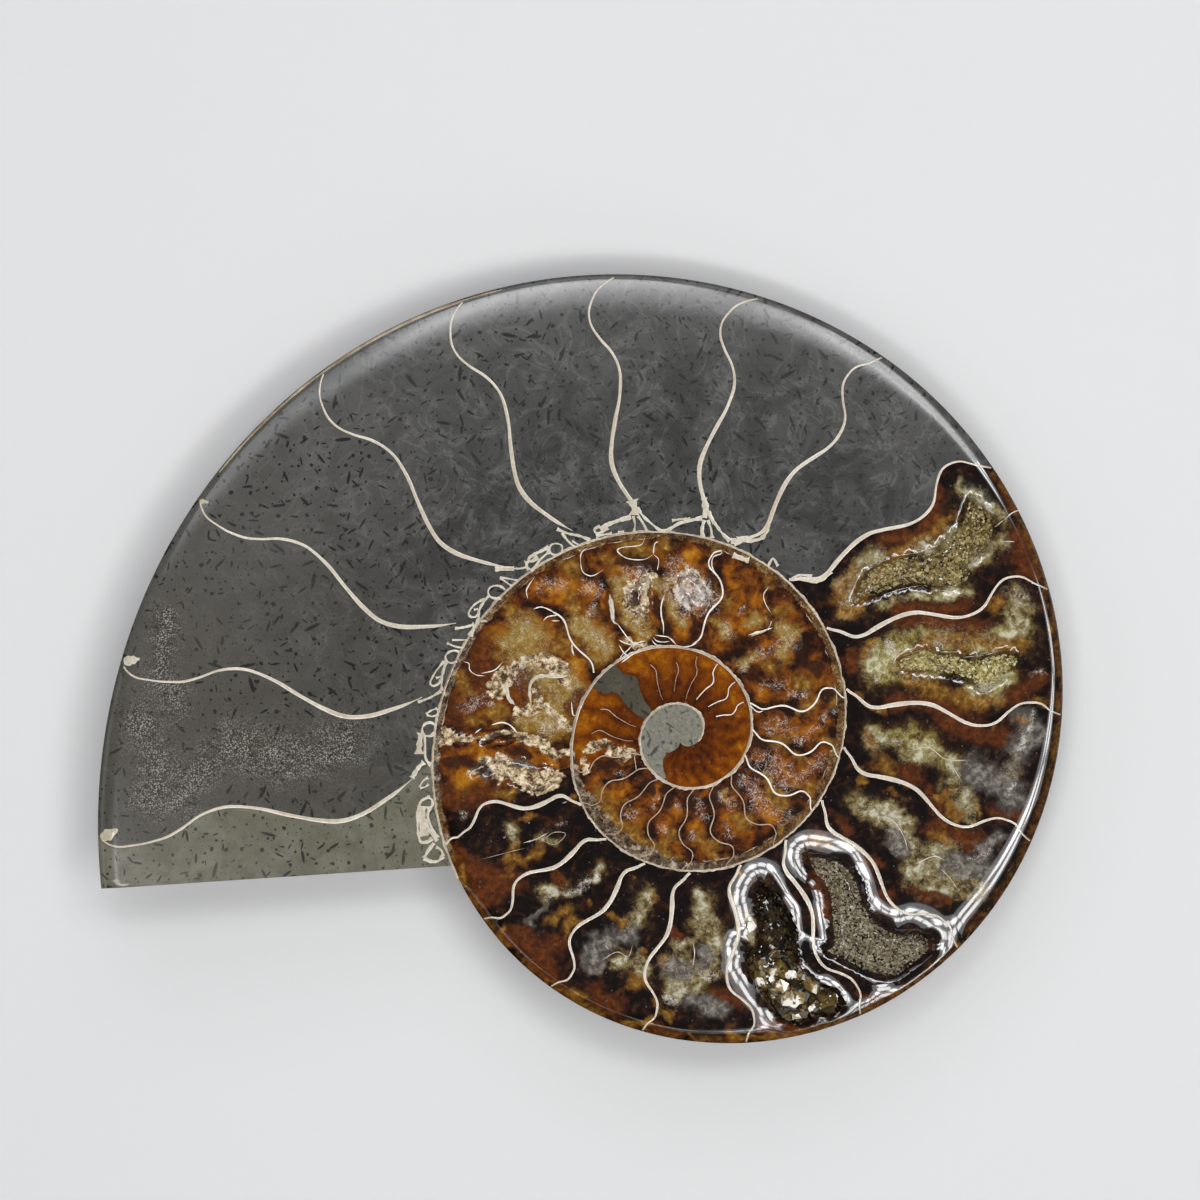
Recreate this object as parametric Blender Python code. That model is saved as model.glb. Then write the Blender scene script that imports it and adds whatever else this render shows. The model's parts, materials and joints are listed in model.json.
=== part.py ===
"""Half of an ammonite, sawn through its plane of symmetry and polished, lying with the cut face up."""

import math
import random

import bmesh
import bpy
import numpy as np
from mathutils import Matrix, Vector
from mathutils.geometry import delaunay_2d_cdt

# Lengths are in millimetres and angles in degrees up to write_mesh, which writes metres.
MM = 0.001

# The spiral of the outer wall. A turn angle counts degrees of growth: 0 is on +X in the last
# whorl, and -360 is the same direction one whorl further in.
FIRST_TURN = -495.0
TURN_STEP = 45.0
WALL_RADII = [16.7, 18.1, 19.5, 21.7, 24.4, 27.1, 30.1, 33.2, 36.6, 40.9, 46.1, 50.8, 55.6, 61.3,
              68.9, 77.5, 87.4, 98.0]
WHORL_SHRINK = 0.46

# The shell opening, sawn off straight: the saw's line goes from the outer wall to the whorl inside.
SAW_OUTER = Vector((-77.9, -20.5))
SAW_NOTCH = Vector((-30.4, -17.3))
NOTCH_TURN = -146.4
SAW_TURN = 194.8
SAW_TIP = Vector((-9.1, -15.77))
SAW_STEP = 0.5

# The flank. Radii are shares of the wall radius at the same turn angle.
SEAM = 0.20
SHOULDER = 0.40
HALF_THICKNESS = 0.183
EDGE_DEPTH = 1.3
COLUMN_STEP = 4.0
INNERMOST_TURN = -760.0
FLANK_ROWS = [0.0, 0.17, 0.34, 0.5, 0.64, 0.76, 0.86, 0.935, 0.98]
UMBILICAL_ROWS = [0.0, 0.16, 0.38, 0.68]

# The polished face, rounded over at the rim.
RIM_WIDTH = 2.0
RIM_DROP = 0.8
RIM_ROWS = [0.45, 1.1, 2.0]

# How the half lies: the cut face leans down toward one side until three points of the flank touch.
LEAN = 4.6
LEAN_TOWARD = 52.4

# Hollows left open in the chambers: outline, depth, width of the sloping edge, and their crystals.
HOLLOWS = {
    "boot_hollow_crystals": {
        "outline": [(10.7, -19.9), (13.3, -21.9), (14.9, -25.0), (15.4, -28.9), (16.7, -31.9),
                    (19.8, -33.7), (21.6, -35.8), (19.6, -37.9), (17.9, -37.4), (16.2, -38.5),
                    (14.3, -38.8), (13.0, -38.2), (11.0, -35.3), (8.8, -31.7), (8.5, -29.7),
                    (7.4, -28.6), (10.0, -28.7), (10.3, -25.6), (9.6, -21.9)],
        "depth": 4.4, "slope": 1.7, "inset": 0.7, "gap": 0.55, "crust": 0.6,
        "crystal": 0.95, "height": 1.5, "colour": (0.22, 0.13, 0.035), "roughness": 0.25,
    },
    "bean_hollow_crystals": {
        "outline": [(16.6, -16.4), (20.6, -16.5), (22.9, -18.1), (24.7, -22.3), (27.3, -25.7),
                    (32.0, -26.4), (33.8, -28.3), (30.6, -31.5), (28.0, -32.9), (23.2, -31.3),
                    (19.2, -28.9), (18.0, -24.5), (17.4, -20.0)],
        "depth": 1.5, "slope": 1.6, "inset": 0.5, "gap": 0.35, "crust": 0.3,
        "crystal": 0.5, "height": 0.5, "colour": (0.16, 0.13, 0.07), "roughness": 0.5,
    },
    "upper_hollow_crystals": {
        "outline": [(22.8, 18.3), (24.5, 21.3), (27.5, 23.4), (33.6, 24.8), (36.9, 27.8),
                    (39.0, 32.0), (42.0, 29.0), (41.4, 25.4), (38.9, 22.4), (37.5, 19.7),
                    (32.0, 20.0), (27.1, 19.0)],
        "depth": 1.8, "slope": 1.3, "inset": 0.5, "gap": 0.4, "crust": 0.4,
        "crystal": 0.55, "height": 0.7, "colour": (0.25, 0.18, 0.05), "roughness": 0.4,
    },
    "lower_hollow_crystals": {
        "outline": [(29.0, 10.3), (32.8, 11.6), (36.9, 11.2), (37.9, 10.4), (45.0, 11.0),
                    (45.3, 9.6), (42.4, 6.9), (39.8, 6.3), (36.5, 7.9), (29.6, 8.6)],
        "depth": 1.8, "slope": 1.2, "inset": 0.5, "gap": 0.4, "crust": 0.4,
        "crystal": 0.6, "height": 0.7, "colour": (0.36, 0.26, 0.07), "roughness": 0.35,
    },
}

# Small bare openings: outline, depth and width of the sloping edge.
PITS = {
    "dark crack": {
        "outline": [(-27.2, -1.0), (-24.5, -0.2), (-22.0, -0.6), (-24.6, -1.5)],
        "depth": 1.2, "slope": 0.5,
    },
    "tan druse": {
        "outline": [(-28.4, -5.6), (-24.0, -2.9), (-19.5, -3.8), (-16.2, -4.4), (-18.6, -7.4),
                    (-22.0, -6.8), (-25.2, -5.0)],
        "depth": 0.6, "slope": 0.6,
    },
    "left pale vug": {
        "outline": [(-6.6, 18.4), (-5.6, 21.2), (-4.2, 20.8), (-4.3, 17.2), (-5.4, 16.4)],
        "depth": 0.9, "slope": 0.7,
    },
    "right pale vug": {
        "outline": [(-0.6, 21.0), (1.2, 21.6), (3.6, 19.0), (2.6, 16.4), (0.4, 18.2)],
        "depth": 0.9, "slope": 0.7,
    },
}
FLOOR_SPACING = 1.25

MUDSTONE = (0.09, 0.088, 0.082)


def catmull(a, b, c, d, s):
    """Smooth value between b and c at share s."""
    return 0.5 * (2 * b + (c - a) * s + (2 * a - 5 * b + 4 * c - d) * s**2
                  + (3 * b - a - 3 * c + d) * s**3)


def wall_radius(turn):
    """Radius of the outer wall at a turn angle; inside the list, each whorl is the next one shrunk."""
    if turn < FIRST_TURN + TURN_STEP:
        return wall_radius(turn + 360.0) * WHORL_SHRINK
    steps = (turn - FIRST_TURN) / TURN_STEP
    i = min(int(steps), len(WALL_RADII) - 3)
    logs = [math.log(radius) for radius in WALL_RADII[i - 1:i + 3]]
    return math.exp(catmull(*logs, steps - i))


def on_spiral(turn, radius):
    return Vector((radius * math.cos(math.radians(turn)), radius * math.sin(math.radians(turn))))


def above_saw(point):
    """True on the side of the saw's line where the last whorl's end was kept."""
    line = SAW_NOTCH - SAW_OUTER
    return line.cross(point - SAW_OUTER) > 0


def flank_share(v):
    """Depth of the flank as a share of its deepest, from the shoulder (0) to the outer wall (1)."""
    return max(1.0 - min(max(v, 0.0), 1.0)**2.2, 0.0)**0.62


def flank_depth(turn, radius):
    """Depth of the flank below the cut face, at a turn angle and a distance from the middle."""
    wall = wall_radius(turn)
    deepest = HALF_THICKNESS * wall
    share = radius / wall
    edge = min(EDGE_DEPTH, 0.3 * deepest)
    if share >= SHOULDER:
        return edge + (deepest - edge) * flank_share((share - SHOULDER) / (1.0 - SHOULDER))
    seam_depth = flank_depth(turn - 360.0, SEAM * wall)
    rise = 1.0 - (1.0 - max((share - SEAM) / (SHOULDER - SEAM), 0.0))**2.5
    return seam_depth + (deepest - seam_depth) * rise**0.8


def whorl_at(point):
    """Turn angle of the whorl that shows on the flank at a point, or None in the very middle."""
    direction = math.degrees(math.atan2(point.y, point.x))
    for whorl in (360.0, 0.0, -360.0, -720.0, -1080.0):
        turn = direction + whorl
        if turn > 245.0 or (turn > 150.0 and not above_saw(point)):
            continue
        if point.length >= SEAM * wall_radius(turn) - 1e-6:
            return turn
    return None


def rim_drop(turn, inward):
    """How far the rounded rim lies below the cut face, at a distance in from the outer wall."""
    fade = min(max((turn - NOTCH_TURN) / 8.0, 0.0), 1.0)
    return RIM_DROP * fade * max(1.0 - inward / RIM_WIDTH, 0.0)**2


def outer_columns():
    """Turn angles of the columns of points round the last turn, from the notch to the saw cut."""
    count = round((SAW_TURN - NOTCH_TURN) / COLUMN_STEP)
    return [float(turn) for turn in np.linspace(NOTCH_TURN, SAW_TURN, count)]


def outline_loop():
    """The edge of the half seen from above, counter-clockwise, as (point, rim drop, flank depth)."""
    loop = []
    for turn in outer_columns():
        wall = wall_radius(turn)
        drop = rim_drop(turn, 0.0)
        loop.append((on_spiral(turn, wall), drop, drop + 0.4 * EDGE_DEPTH))
    corner = loop[-1][0]
    length = (SAW_NOTCH - corner).length
    for inward in [0.6, 1.2] + RIM_ROWS[-1:] + list(np.linspace(4.5, length, 11)):
        point = corner.lerp(SAW_NOTCH, inward / length)
        turn = math.degrees(math.atan2(point.y, point.x)) + 360.0
        loop.append((point, rim_drop(turn, inward), flank_depth(turn, point.length)))
    return loop


def inside(point, polygon):
    """Even-odd test of a point in a closed polygon."""
    hit = False
    for a, b in zip(polygon, polygon[1:] + polygon[:1]):
        if (a.y > point.y) != (b.y > point.y):
            if point.x < a.x + (b.x - a.x) * (point.y - a.y) / (b.y - a.y):
                hit = not hit
    return hit


def edge_distance(point, polygon):
    """Shortest distance from a point to a closed polygon's edges."""
    best = math.inf
    for a, b in zip(polygon, polygon[1:] + polygon[:1]):
        along = (b - a)
        share = min(max((point - a).dot(along) / along.length_squared, 0.0), 1.0)
        best = min(best, (a + along * share - point).length)
    return best


def rounded(points, spacing=1.3):
    """A closed smooth outline through the given points, with a point about every spacing."""
    corners = [Vector(point) for point in points]
    count = len(corners)
    result = []
    for i in range(count):
        a, b, c, d = (corners[(i + j) % count] for j in (-1, 0, 1, 2))
        pieces = max(1, round((c - b).length / spacing))
        for j in range(pieces):
            s = j / pieces
            result.append(Vector((catmull(a.x, b.x, c.x, d.x, s), catmull(a.y, b.y, c.y, d.y, s))))
    return result


def grown_inward(polygon, distance):
    """The polygon moved inward by a distance, keeping only points that stay that far inside."""
    count = len(polygon)
    area = sum(polygon[i - 1].cross(polygon[i]) for i in range(count))
    side = 1.0 if area > 0 else -1.0
    result = []
    for i in range(count):
        along = (polygon[(i + 1) % count] - polygon[i - 1]).normalized()
        moved = polygon[i] + side * distance * Vector((-along.y, along.x))
        if inside(moved, polygon) and edge_distance(moved, polygon) > 0.93 * distance:
            if not result or (moved - result[-1]).length > 0.35:
                result.append(moved)
    return result


def honeycomb(polygon, spacing, margin):
    """Points on a triangular lattice inside a polygon, at least margin from its edges."""
    low = Vector((min(p.x for p in polygon), min(p.y for p in polygon)))
    high = Vector((max(p.x for p in polygon), max(p.y for p in polygon)))
    points = []
    rows = int((high.y - low.y) / (spacing * 0.866)) + 1
    columns = int((high.x - low.x) / spacing) + 2
    for row in range(rows):
        for column in range(columns):
            x = low.x + spacing * (column + 0.5 * (row % 2))
            point = Vector((x, low.y + spacing * 0.866 * (row + 0.5)))
            if inside(point, polygon) and edge_distance(point, polygon) > margin:
                points.append(point)
    return points


def triangulate(points, loops, chains):
    """Delaunay triangles inside the first loop; the other loops and the chains are kept as edges."""
    edges = []
    for loop in loops:
        edges += list(zip(loop, loop[1:] + loop[:1]))
    for chain in chains:
        edges += list(zip(chain, chain[1:]))
    result = delaunay_2d_cdt(points, edges, [], 1, 1e-5, True)
    sources = [ids[0] for ids in result[3]]
    outer = [points[i] for i in loops[0]]
    faces = []
    for face in result[2]:
        corners = [sources[i] for i in face]
        a, b, c = (points[i] for i in corners)
        if inside((a + b + c) / 3.0, outer):
            faces.append(corners if (b - a).cross(c - a) > 0 else corners[::-1])
    return faces


def bowl_depth(point, outline, depth, slope):
    """Depth of a hollow: it falls from the outline over the slope's width, then runs flat."""
    share = min(edge_distance(point, outline) / slope, 1.0)
    return depth * share * (2.0 - share)


def cut_face_sheet(loop, hollows):
    """The polished face: its points with heights, its triangles, and the floor of each hollow."""
    points = [point for point, _, _ in loop]
    heights = [-drop for _, drop, _ in loop]
    edge = list(points)
    loops = [list(range(len(loop)))]
    rims = [hollow["rim"] for hollow in hollows.values()]
    for inward in RIM_ROWS:
        for turn in outer_columns():
            point = on_spiral(turn, wall_radius(turn) - inward)
            clear = all(edge_distance(point, rim) > 0.4 and not inside(point, rim) for rim in rims)
            if clear and edge_distance(point, edge) > 0.9 * inward:
                points.append(point)
                heights.append(-rim_drop(turn, inward))
    for pit in PITS.values():
        outline = rounded(pit["outline"])
        loops.append(list(range(len(points), len(points) + len(outline))))
        floor = honeycomb(outline, FLOOR_SPACING * 0.8, 0.3)
        points += outline + floor
        heights += [0.0] * len(outline)
        heights += [-bowl_depth(p, outline, pit["depth"], pit["slope"]) for p in floor]
    linings = {}
    for name, hollow in hollows.items():
        outline, inner = hollow["rim"], hollow["inner"]
        floor = honeycomb(inner, FLOOR_SPACING, 0.45 * FLOOR_SPACING)
        first = len(points)
        loops.append(list(range(first, first + len(outline))))
        first += len(outline)
        loops.append(list(range(first, first + len(inner))))
        points += outline + inner + floor
        heights += [0.0] * len(outline)
        heights += [-hollow["floor"](p) for p in inner + floor]
        linings[name] = (first, len(inner), len(inner) + len(floor))
    return points, heights, triangulate(points, loops, []), linings


def saw_step():
    """The two edges of the saw cut over the inner whorl, one at each side's depth, ending as one."""
    start, end = SAW_NOTCH, SAW_TIP
    along = (end - start).normalized()
    aside = SAW_STEP * Vector((along.y, -along.x))
    kept, bared = [], []
    for share in np.linspace(0.0, 1.0, 9)[1:-1]:
        point = start.lerp(end, share)
        turn = math.degrees(math.atan2(point.y, point.x)) + 360.0
        kept.append((point, flank_depth(turn, point.length)))
        low = point + aside
        bared.append((low, flank_depth(whorl_at(low), low.length)))
    return kept, bared


def flank_sheet(loop):
    """The outside of the shell: its points with heights, and its triangles."""
    points = [point for point, _, _ in loop]
    heights = [-depth for _, _, depth in loop]
    outer_loop = list(range(len(loop)))
    chains = []
    kept, bared = saw_step()
    tip_turn = math.degrees(math.atan2(SAW_TIP.y, SAW_TIP.x)) + 360.0
    tip = (SAW_TIP, flank_depth(tip_turn, SAW_TIP.length))
    first = len(points)
    for point, depth in kept + bared + [tip]:
        points.append(point)
        heights.append(-depth)
    last = len(points) - 1
    chains.append([len(loop) - 1] + list(range(first, first + len(kept))) + [last])
    chains.append([0] + list(range(first + len(kept), last)) + [last])
    fixed = list(points)
    shares = [SEAM + (SHOULDER - SEAM) * row for row in UMBILICAL_ROWS]
    shares += [SHOULDER + (1.0 - SHOULDER) * row for row in FLANK_ROWS]
    seam = [last]
    columns = list(np.arange(tip_turn - 0.5 * COLUMN_STEP, SAW_TURN, -COLUMN_STEP))
    columns += outer_columns()[::-1]
    columns += list(np.arange(NOTCH_TURN - COLUMN_STEP, INNERMOST_TURN, -2.0 * COLUMN_STEP))
    for turn in columns:
        wall = wall_radius(turn)
        for share in shares:
            point = on_spiral(turn, share * wall)
            shown = whorl_at(point)
            hidden = shown is None or abs(shown - turn) > 1.0
            on_seam = share == SEAM and not hidden
            clear = 0.35 + 0.012 * point.length
            if hidden or not inside(point, fixed[:len(loop)]):
                continue
            if not on_seam:
                outer_seam = SEAM * wall_radius(turn + 360.0)
                if turn < tip_turn - 360.0 and 0.94 * outer_seam < point.length < outer_seam:
                    continue
                if min((point - p).length for p in fixed) < clear:
                    continue
            else:
                seam.append(len(points))
            points.append(point)
            heights.append(-flank_depth(turn, point.length))
    chains.append(seam)
    points.append(Vector((0.0, 0.0)))
    heights.append(heights[-1])
    return points, heights, triangulate(points, [outer_loop], chains)


def resting_pose():
    """Turns the level cut face to the lean that the half takes on its rounded flank."""
    toward = Matrix.Rotation(math.radians(LEAN_TOWARD), 4, "Z")
    return toward @ Matrix.Rotation(math.radians(LEAN), 4, "Y") @ toward.inverted()


def principled(name, colour, roughness):
    material = bpy.data.materials.new(name)
    material.use_nodes = True
    shader = material.node_tree.nodes["Principled BSDF"]
    shader.inputs["Base Color"].default_value = (*colour, 1.0)
    shader.inputs["Roughness"].default_value = roughness
    shader.inputs["Metallic"].default_value = 0.0
    return material


def write_mesh(name, corners, faces, pose, material, collection):
    """Makes one closed object, in metres, with clean faces all turned outward."""
    mesh = bpy.data.meshes.new(name)
    mesh.from_pydata([pose @ Vector(corner) * MM for corner in corners], [], faces)
    work = bmesh.new()
    work.from_mesh(mesh)
    bmesh.ops.recalc_face_normals(work, faces=work.faces)
    work.to_mesh(mesh)
    work.free()
    mesh.materials.append(material)
    part = bpy.data.objects.new(name, mesh)
    collection.objects.link(part)
    return part


def prepared_hollows():
    """Adds to each hollow its smooth rim, its inner edge and its depth as a function."""
    hollows = {}
    for name, hollow in HOLLOWS.items():
        rim = rounded(hollow["outline"])
        depth, slope = hollow["depth"], hollow["slope"]

        def floor(point, rim=rim, depth=depth, slope=slope):
            return bowl_depth(point, rim, depth, slope)

        inner = grown_inward(rim, hollow["inset"])
        hollows[name] = {**hollow, "rim": rim, "inner": inner, "floor": floor}
    return hollows


def body_geometry(loop, top, bottom):
    """Joins the polished face and the flank along the outline into one closed surface."""
    top_points, top_heights, top_faces = top
    bottom_points, bottom_heights, bottom_faces = bottom
    offset = len(top_points)
    corners = [(*point, z) for point, z in zip(top_points, top_heights)]
    corners += [(*point, z) for point, z in zip(bottom_points, bottom_heights)]
    faces = list(top_faces)
    faces += [[offset + i for i in reversed(face)] for face in bottom_faces]
    for i in range(len(loop)):
        j = (i + 1) % len(loop)
        faces.append([offset + i, offset + j, j, i])
    return corners, faces


def crystal_places(inner, radius, chance):
    """Random places for crystals inside a hollow's inner edge, clear of it and of each other."""
    low = Vector((min(p.x for p in inner), min(p.y for p in inner)))
    high = Vector((max(p.x for p in inner), max(p.y for p in inner)))
    places = []
    for _ in range(4000):
        size = radius * chance.uniform(0.8, 1.25)
        place = Vector((chance.uniform(low.x, high.x), chance.uniform(low.y, high.y)))
        if not inside(place, inner) or edge_distance(place, inner) < size + 0.12:
            continue
        if all((place - other).length > size + other_size + 0.1 for other, other_size in places):
            places.append((place, size))
    return places


def crust_geometry(hollow, lining, sheet, chance):
    """One closed crust: a lining over the hollow's floor, with pointed crystals standing on it."""
    points, heights, faces = sheet
    first, edge_count, count = lining
    gap = hollow["gap"]
    corners = [(*points[first + i], heights[first + i] + gap) for i in range(count)]
    inner = hollow["inner"]
    under = []
    for face in faces:
        middle = sum((points[i] for i in face), Vector((0.0, 0.0))) / 3.0
        if all(first <= i < first + count for i in face) and inside(middle, inner):
            under.append([i - first for i in face])
    crust_points = list(inner)
    crust_heights = [z + hollow["crust"] for _, _, z in corners[:edge_count]]
    chains = []
    for place, size in crystal_places(inner, hollow["crystal"], chance):
        sides = chance.choice((4, 5, 6))
        turn = chance.uniform(0.0, 360.0)
        ring = [place + on_spiral(turn + 360.0 * i / sides, size) for i in range(sides)]
        base = len(crust_points)
        level = [gap + hollow["crust"] - hollow["floor"](p) for p in ring]
        tip = place + on_spiral(chance.uniform(0.0, 360.0), 0.35 * size)
        peak = sum(level) / sides + hollow["height"] * chance.uniform(0.6, 1.0) * size / hollow["crystal"]
        crust_points += ring + [tip]
        crust_heights += level + [min(peak, -0.12)]
        chains.append(list(range(base, base + sides)) + [base])
        chains += [[base + sides, base + i] for i in range(sides)]
    over = triangulate(crust_points, [list(range(edge_count))], chains)
    offset = len(corners)
    corners += [(*point, z) for point, z in zip(crust_points, crust_heights)]
    all_faces = [list(reversed(face)) for face in under]
    all_faces += [[offset + i for i in face] for face in over]
    for i in range(edge_count):
        j = (i + 1) % edge_count
        all_faces.append([i, j, offset + j, offset + i])
    return corners, all_faces


def main():
    for old in list(bpy.data.objects):
        bpy.data.objects.remove(old)
    collection = bpy.data.collections.new("ammonite fossil half")
    bpy.context.scene.collection.children.link(collection)

    loop = outline_loop()
    hollows = prepared_hollows()
    points, heights, faces, linings = cut_face_sheet(loop, hollows)
    corners, body_faces = body_geometry(loop, (points, heights, faces), flank_sheet(loop))

    pose = resting_pose()
    posed = [pose @ Vector(corner) for corner in corners]
    middle_x = (min(p.x for p in posed) + max(p.x for p in posed)) / 2.0
    middle_y = (min(p.y for p in posed) + max(p.y for p in posed)) / 2.0
    lowest = min(p.z for p in posed)
    pose = Matrix.Translation((-middle_x, -middle_y, -lowest)) @ pose

    stone = principled("mudstone and calcite", MUDSTONE, 0.3)
    body = write_mesh("ammonite_half", corners, body_faces, pose, stone, collection)
    body.data.shade_flat()
    chance = random.Random(11)
    for name, hollow in hollows.items():
        crystals = principled(name.replace("_", " "), hollow["colour"], hollow["roughness"])
        geometry = crust_geometry(hollow, linings[name], (points, heights, faces), chance)
        write_mesh(name, *geometry, pose, crystals, collection)


main()
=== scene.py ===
import json
import math

import bpy
import numpy as np
from mathutils import Matrix, Vector


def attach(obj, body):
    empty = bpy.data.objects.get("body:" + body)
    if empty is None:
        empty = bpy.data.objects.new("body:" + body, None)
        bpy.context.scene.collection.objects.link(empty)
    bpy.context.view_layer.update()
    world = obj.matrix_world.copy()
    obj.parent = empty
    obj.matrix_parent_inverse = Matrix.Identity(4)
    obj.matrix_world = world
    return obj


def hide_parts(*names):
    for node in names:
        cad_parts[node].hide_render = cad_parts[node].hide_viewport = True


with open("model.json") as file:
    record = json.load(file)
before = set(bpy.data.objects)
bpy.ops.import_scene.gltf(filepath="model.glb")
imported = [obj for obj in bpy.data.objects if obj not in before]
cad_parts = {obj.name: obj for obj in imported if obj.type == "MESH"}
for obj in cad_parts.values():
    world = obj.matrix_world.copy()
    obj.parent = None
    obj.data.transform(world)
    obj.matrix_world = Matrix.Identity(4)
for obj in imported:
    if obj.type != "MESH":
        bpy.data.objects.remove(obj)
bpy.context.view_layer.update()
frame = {"nodes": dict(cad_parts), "record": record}
mm = 0.001
scene = bpy.context.scene
print("frame loaded:", sorted(frame["nodes"]))

# Millimetres and degrees on the level cut face, with the middle of the spiral at 0, 0.
# A turn is an angle of growth: 0 points along +x in the last whorl, -360 one whorl further in.
# A share runs from 0 at the whorl's inner wall to 1 at its outer wall.
spiral = {
    "firstTurn": -1125.0,
    "turnStep": 45.0,
    "wallRadii": [1.9, 2.67, 3.62, 4.26, 4.87, 5.6, 6.2, 7.0, 8.06, 9.26, 10.55, 11.83, 13.36, 14.69,
                  16.7, 18.1, 19.5, 21.7, 24.4, 27.1, 30.1, 33.2, 36.6, 40.9, 46.1, 50.8, 55.6, 61.3,
                  68.9, 77.5, 87.4, 98.0],
    "middleTurn": -1230.4,   # where the spiral starts from nothing
    "taper": 0.8,            # power of the growth from nothing to the first radius
    "notchTurn": -150.4,     # where the saw line meets the whorl inside
    "sawTurn": 194.8,        # where the saw line meets the outer wall
    "inset": 0.05,           # how far the edge stays inside the frame's own outline
}


def curveThrough(a, b, c, d, u):
    # smooth cubic from b to c as u goes from 0 to 1, with slopes taken from a and d
    return 0.5 * (2 * b + (c - a) * u + (2 * a - 5 * b + 4 * c - d) * u**2
                  + (3 * b - a - 3 * c + d) * u**3)


def wallRadius(turn):
    # smooth curve through the logarithms of the listed radii, a taper to nothing inside the first
    turn = np.asarray(turn, float)
    first, middle = spiral["firstTurn"], spiral["middleTurn"]
    logs = np.log(spiral["wallRadii"])
    logs = np.concatenate([[2 * logs[0] - logs[1]], logs])
    steps = np.clip((turn - first) / spiral["turnStep"], 0, len(logs) - 3.001)
    i = steps.astype(int)
    outer = np.exp(curveThrough(logs[i], logs[i + 1], logs[i + 2], logs[i + 3], steps - i))
    grown = np.clip((turn - middle) / (first - middle), 0, 1)**spiral["taper"]
    return np.where(turn < first, spiral["wallRadii"][0] * grown, outer)


def polar(turn, radius):
    # x and y of a turn and a radius
    angle = np.radians(turn)
    return np.stack([radius * np.cos(angle), radius * np.sin(angle)], -1)


def onWhorl(turn, share):
    # x and y of a turn and a share
    inner = wallRadius(np.asarray(turn) - 360.0)
    return polar(turn, inner + (wallRadius(turn) - inner) * share)


def turnOf(x, y):
    # turn of the whorl that a place on the cut face lies in: its direction plus as many whole turns
    # as put it inside the outer wall
    radius = np.hypot(x, y)
    whorls = 4
    turn = np.degrees(np.arctan2(y, x)) - 360.0 * (whorls - 1)
    for whorl in range(whorls):
        turn = np.where(radius > wallRadius(turn), turn + 360.0, turn)
    return turn


def outlineRadius(direction):
    # distance from the middle to the edge of the half: the outer wall, then the straight saw line
    saw, notch = spiral["sawTurn"], spiral["notchTurn"] + 360.0
    a, b = polar(saw, wallRadius(saw)), polar(notch, wallRadius(notch - 360.0))
    along = b - a
    ray = polar(direction, 1.0)
    cut = (a[0] * along[1] - a[1] * along[0]) / (ray[..., 0] * along[1] - ray[..., 1] * along[0])
    return np.where(np.asarray(direction) > saw, cut, wallRadius(direction)) - spiral["inset"]


# The cut face leans down toward one side, as the frame's mount says.
facePose = {"lean": 4.6, "leanToward": 52.4, "mountPlace": (-35.0, 35.0)}
mount = frame["record"]["mounts"][0]
towardSide = Matrix.Rotation(math.radians(facePose["leanToward"]), 4, "Z")
faceTurn = towardSide @ Matrix.Rotation(math.radians(facePose["lean"]), 4, "Y") @ towardSide.inverted()
faceMiddle = Vector(mount["pos_m"]) - faceTurn @ (Vector((*facePose["mountPlace"], 0.0)) * mm)
faceMatrix = Matrix.Translation(faceMiddle) @ faceTurn


def posed(points):
    # face millimetres to metres in the frame
    points = np.asarray(points, float) * mm
    return points @ np.array(faceTurn.to_3x3()).T + np.array(faceMiddle)


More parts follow.
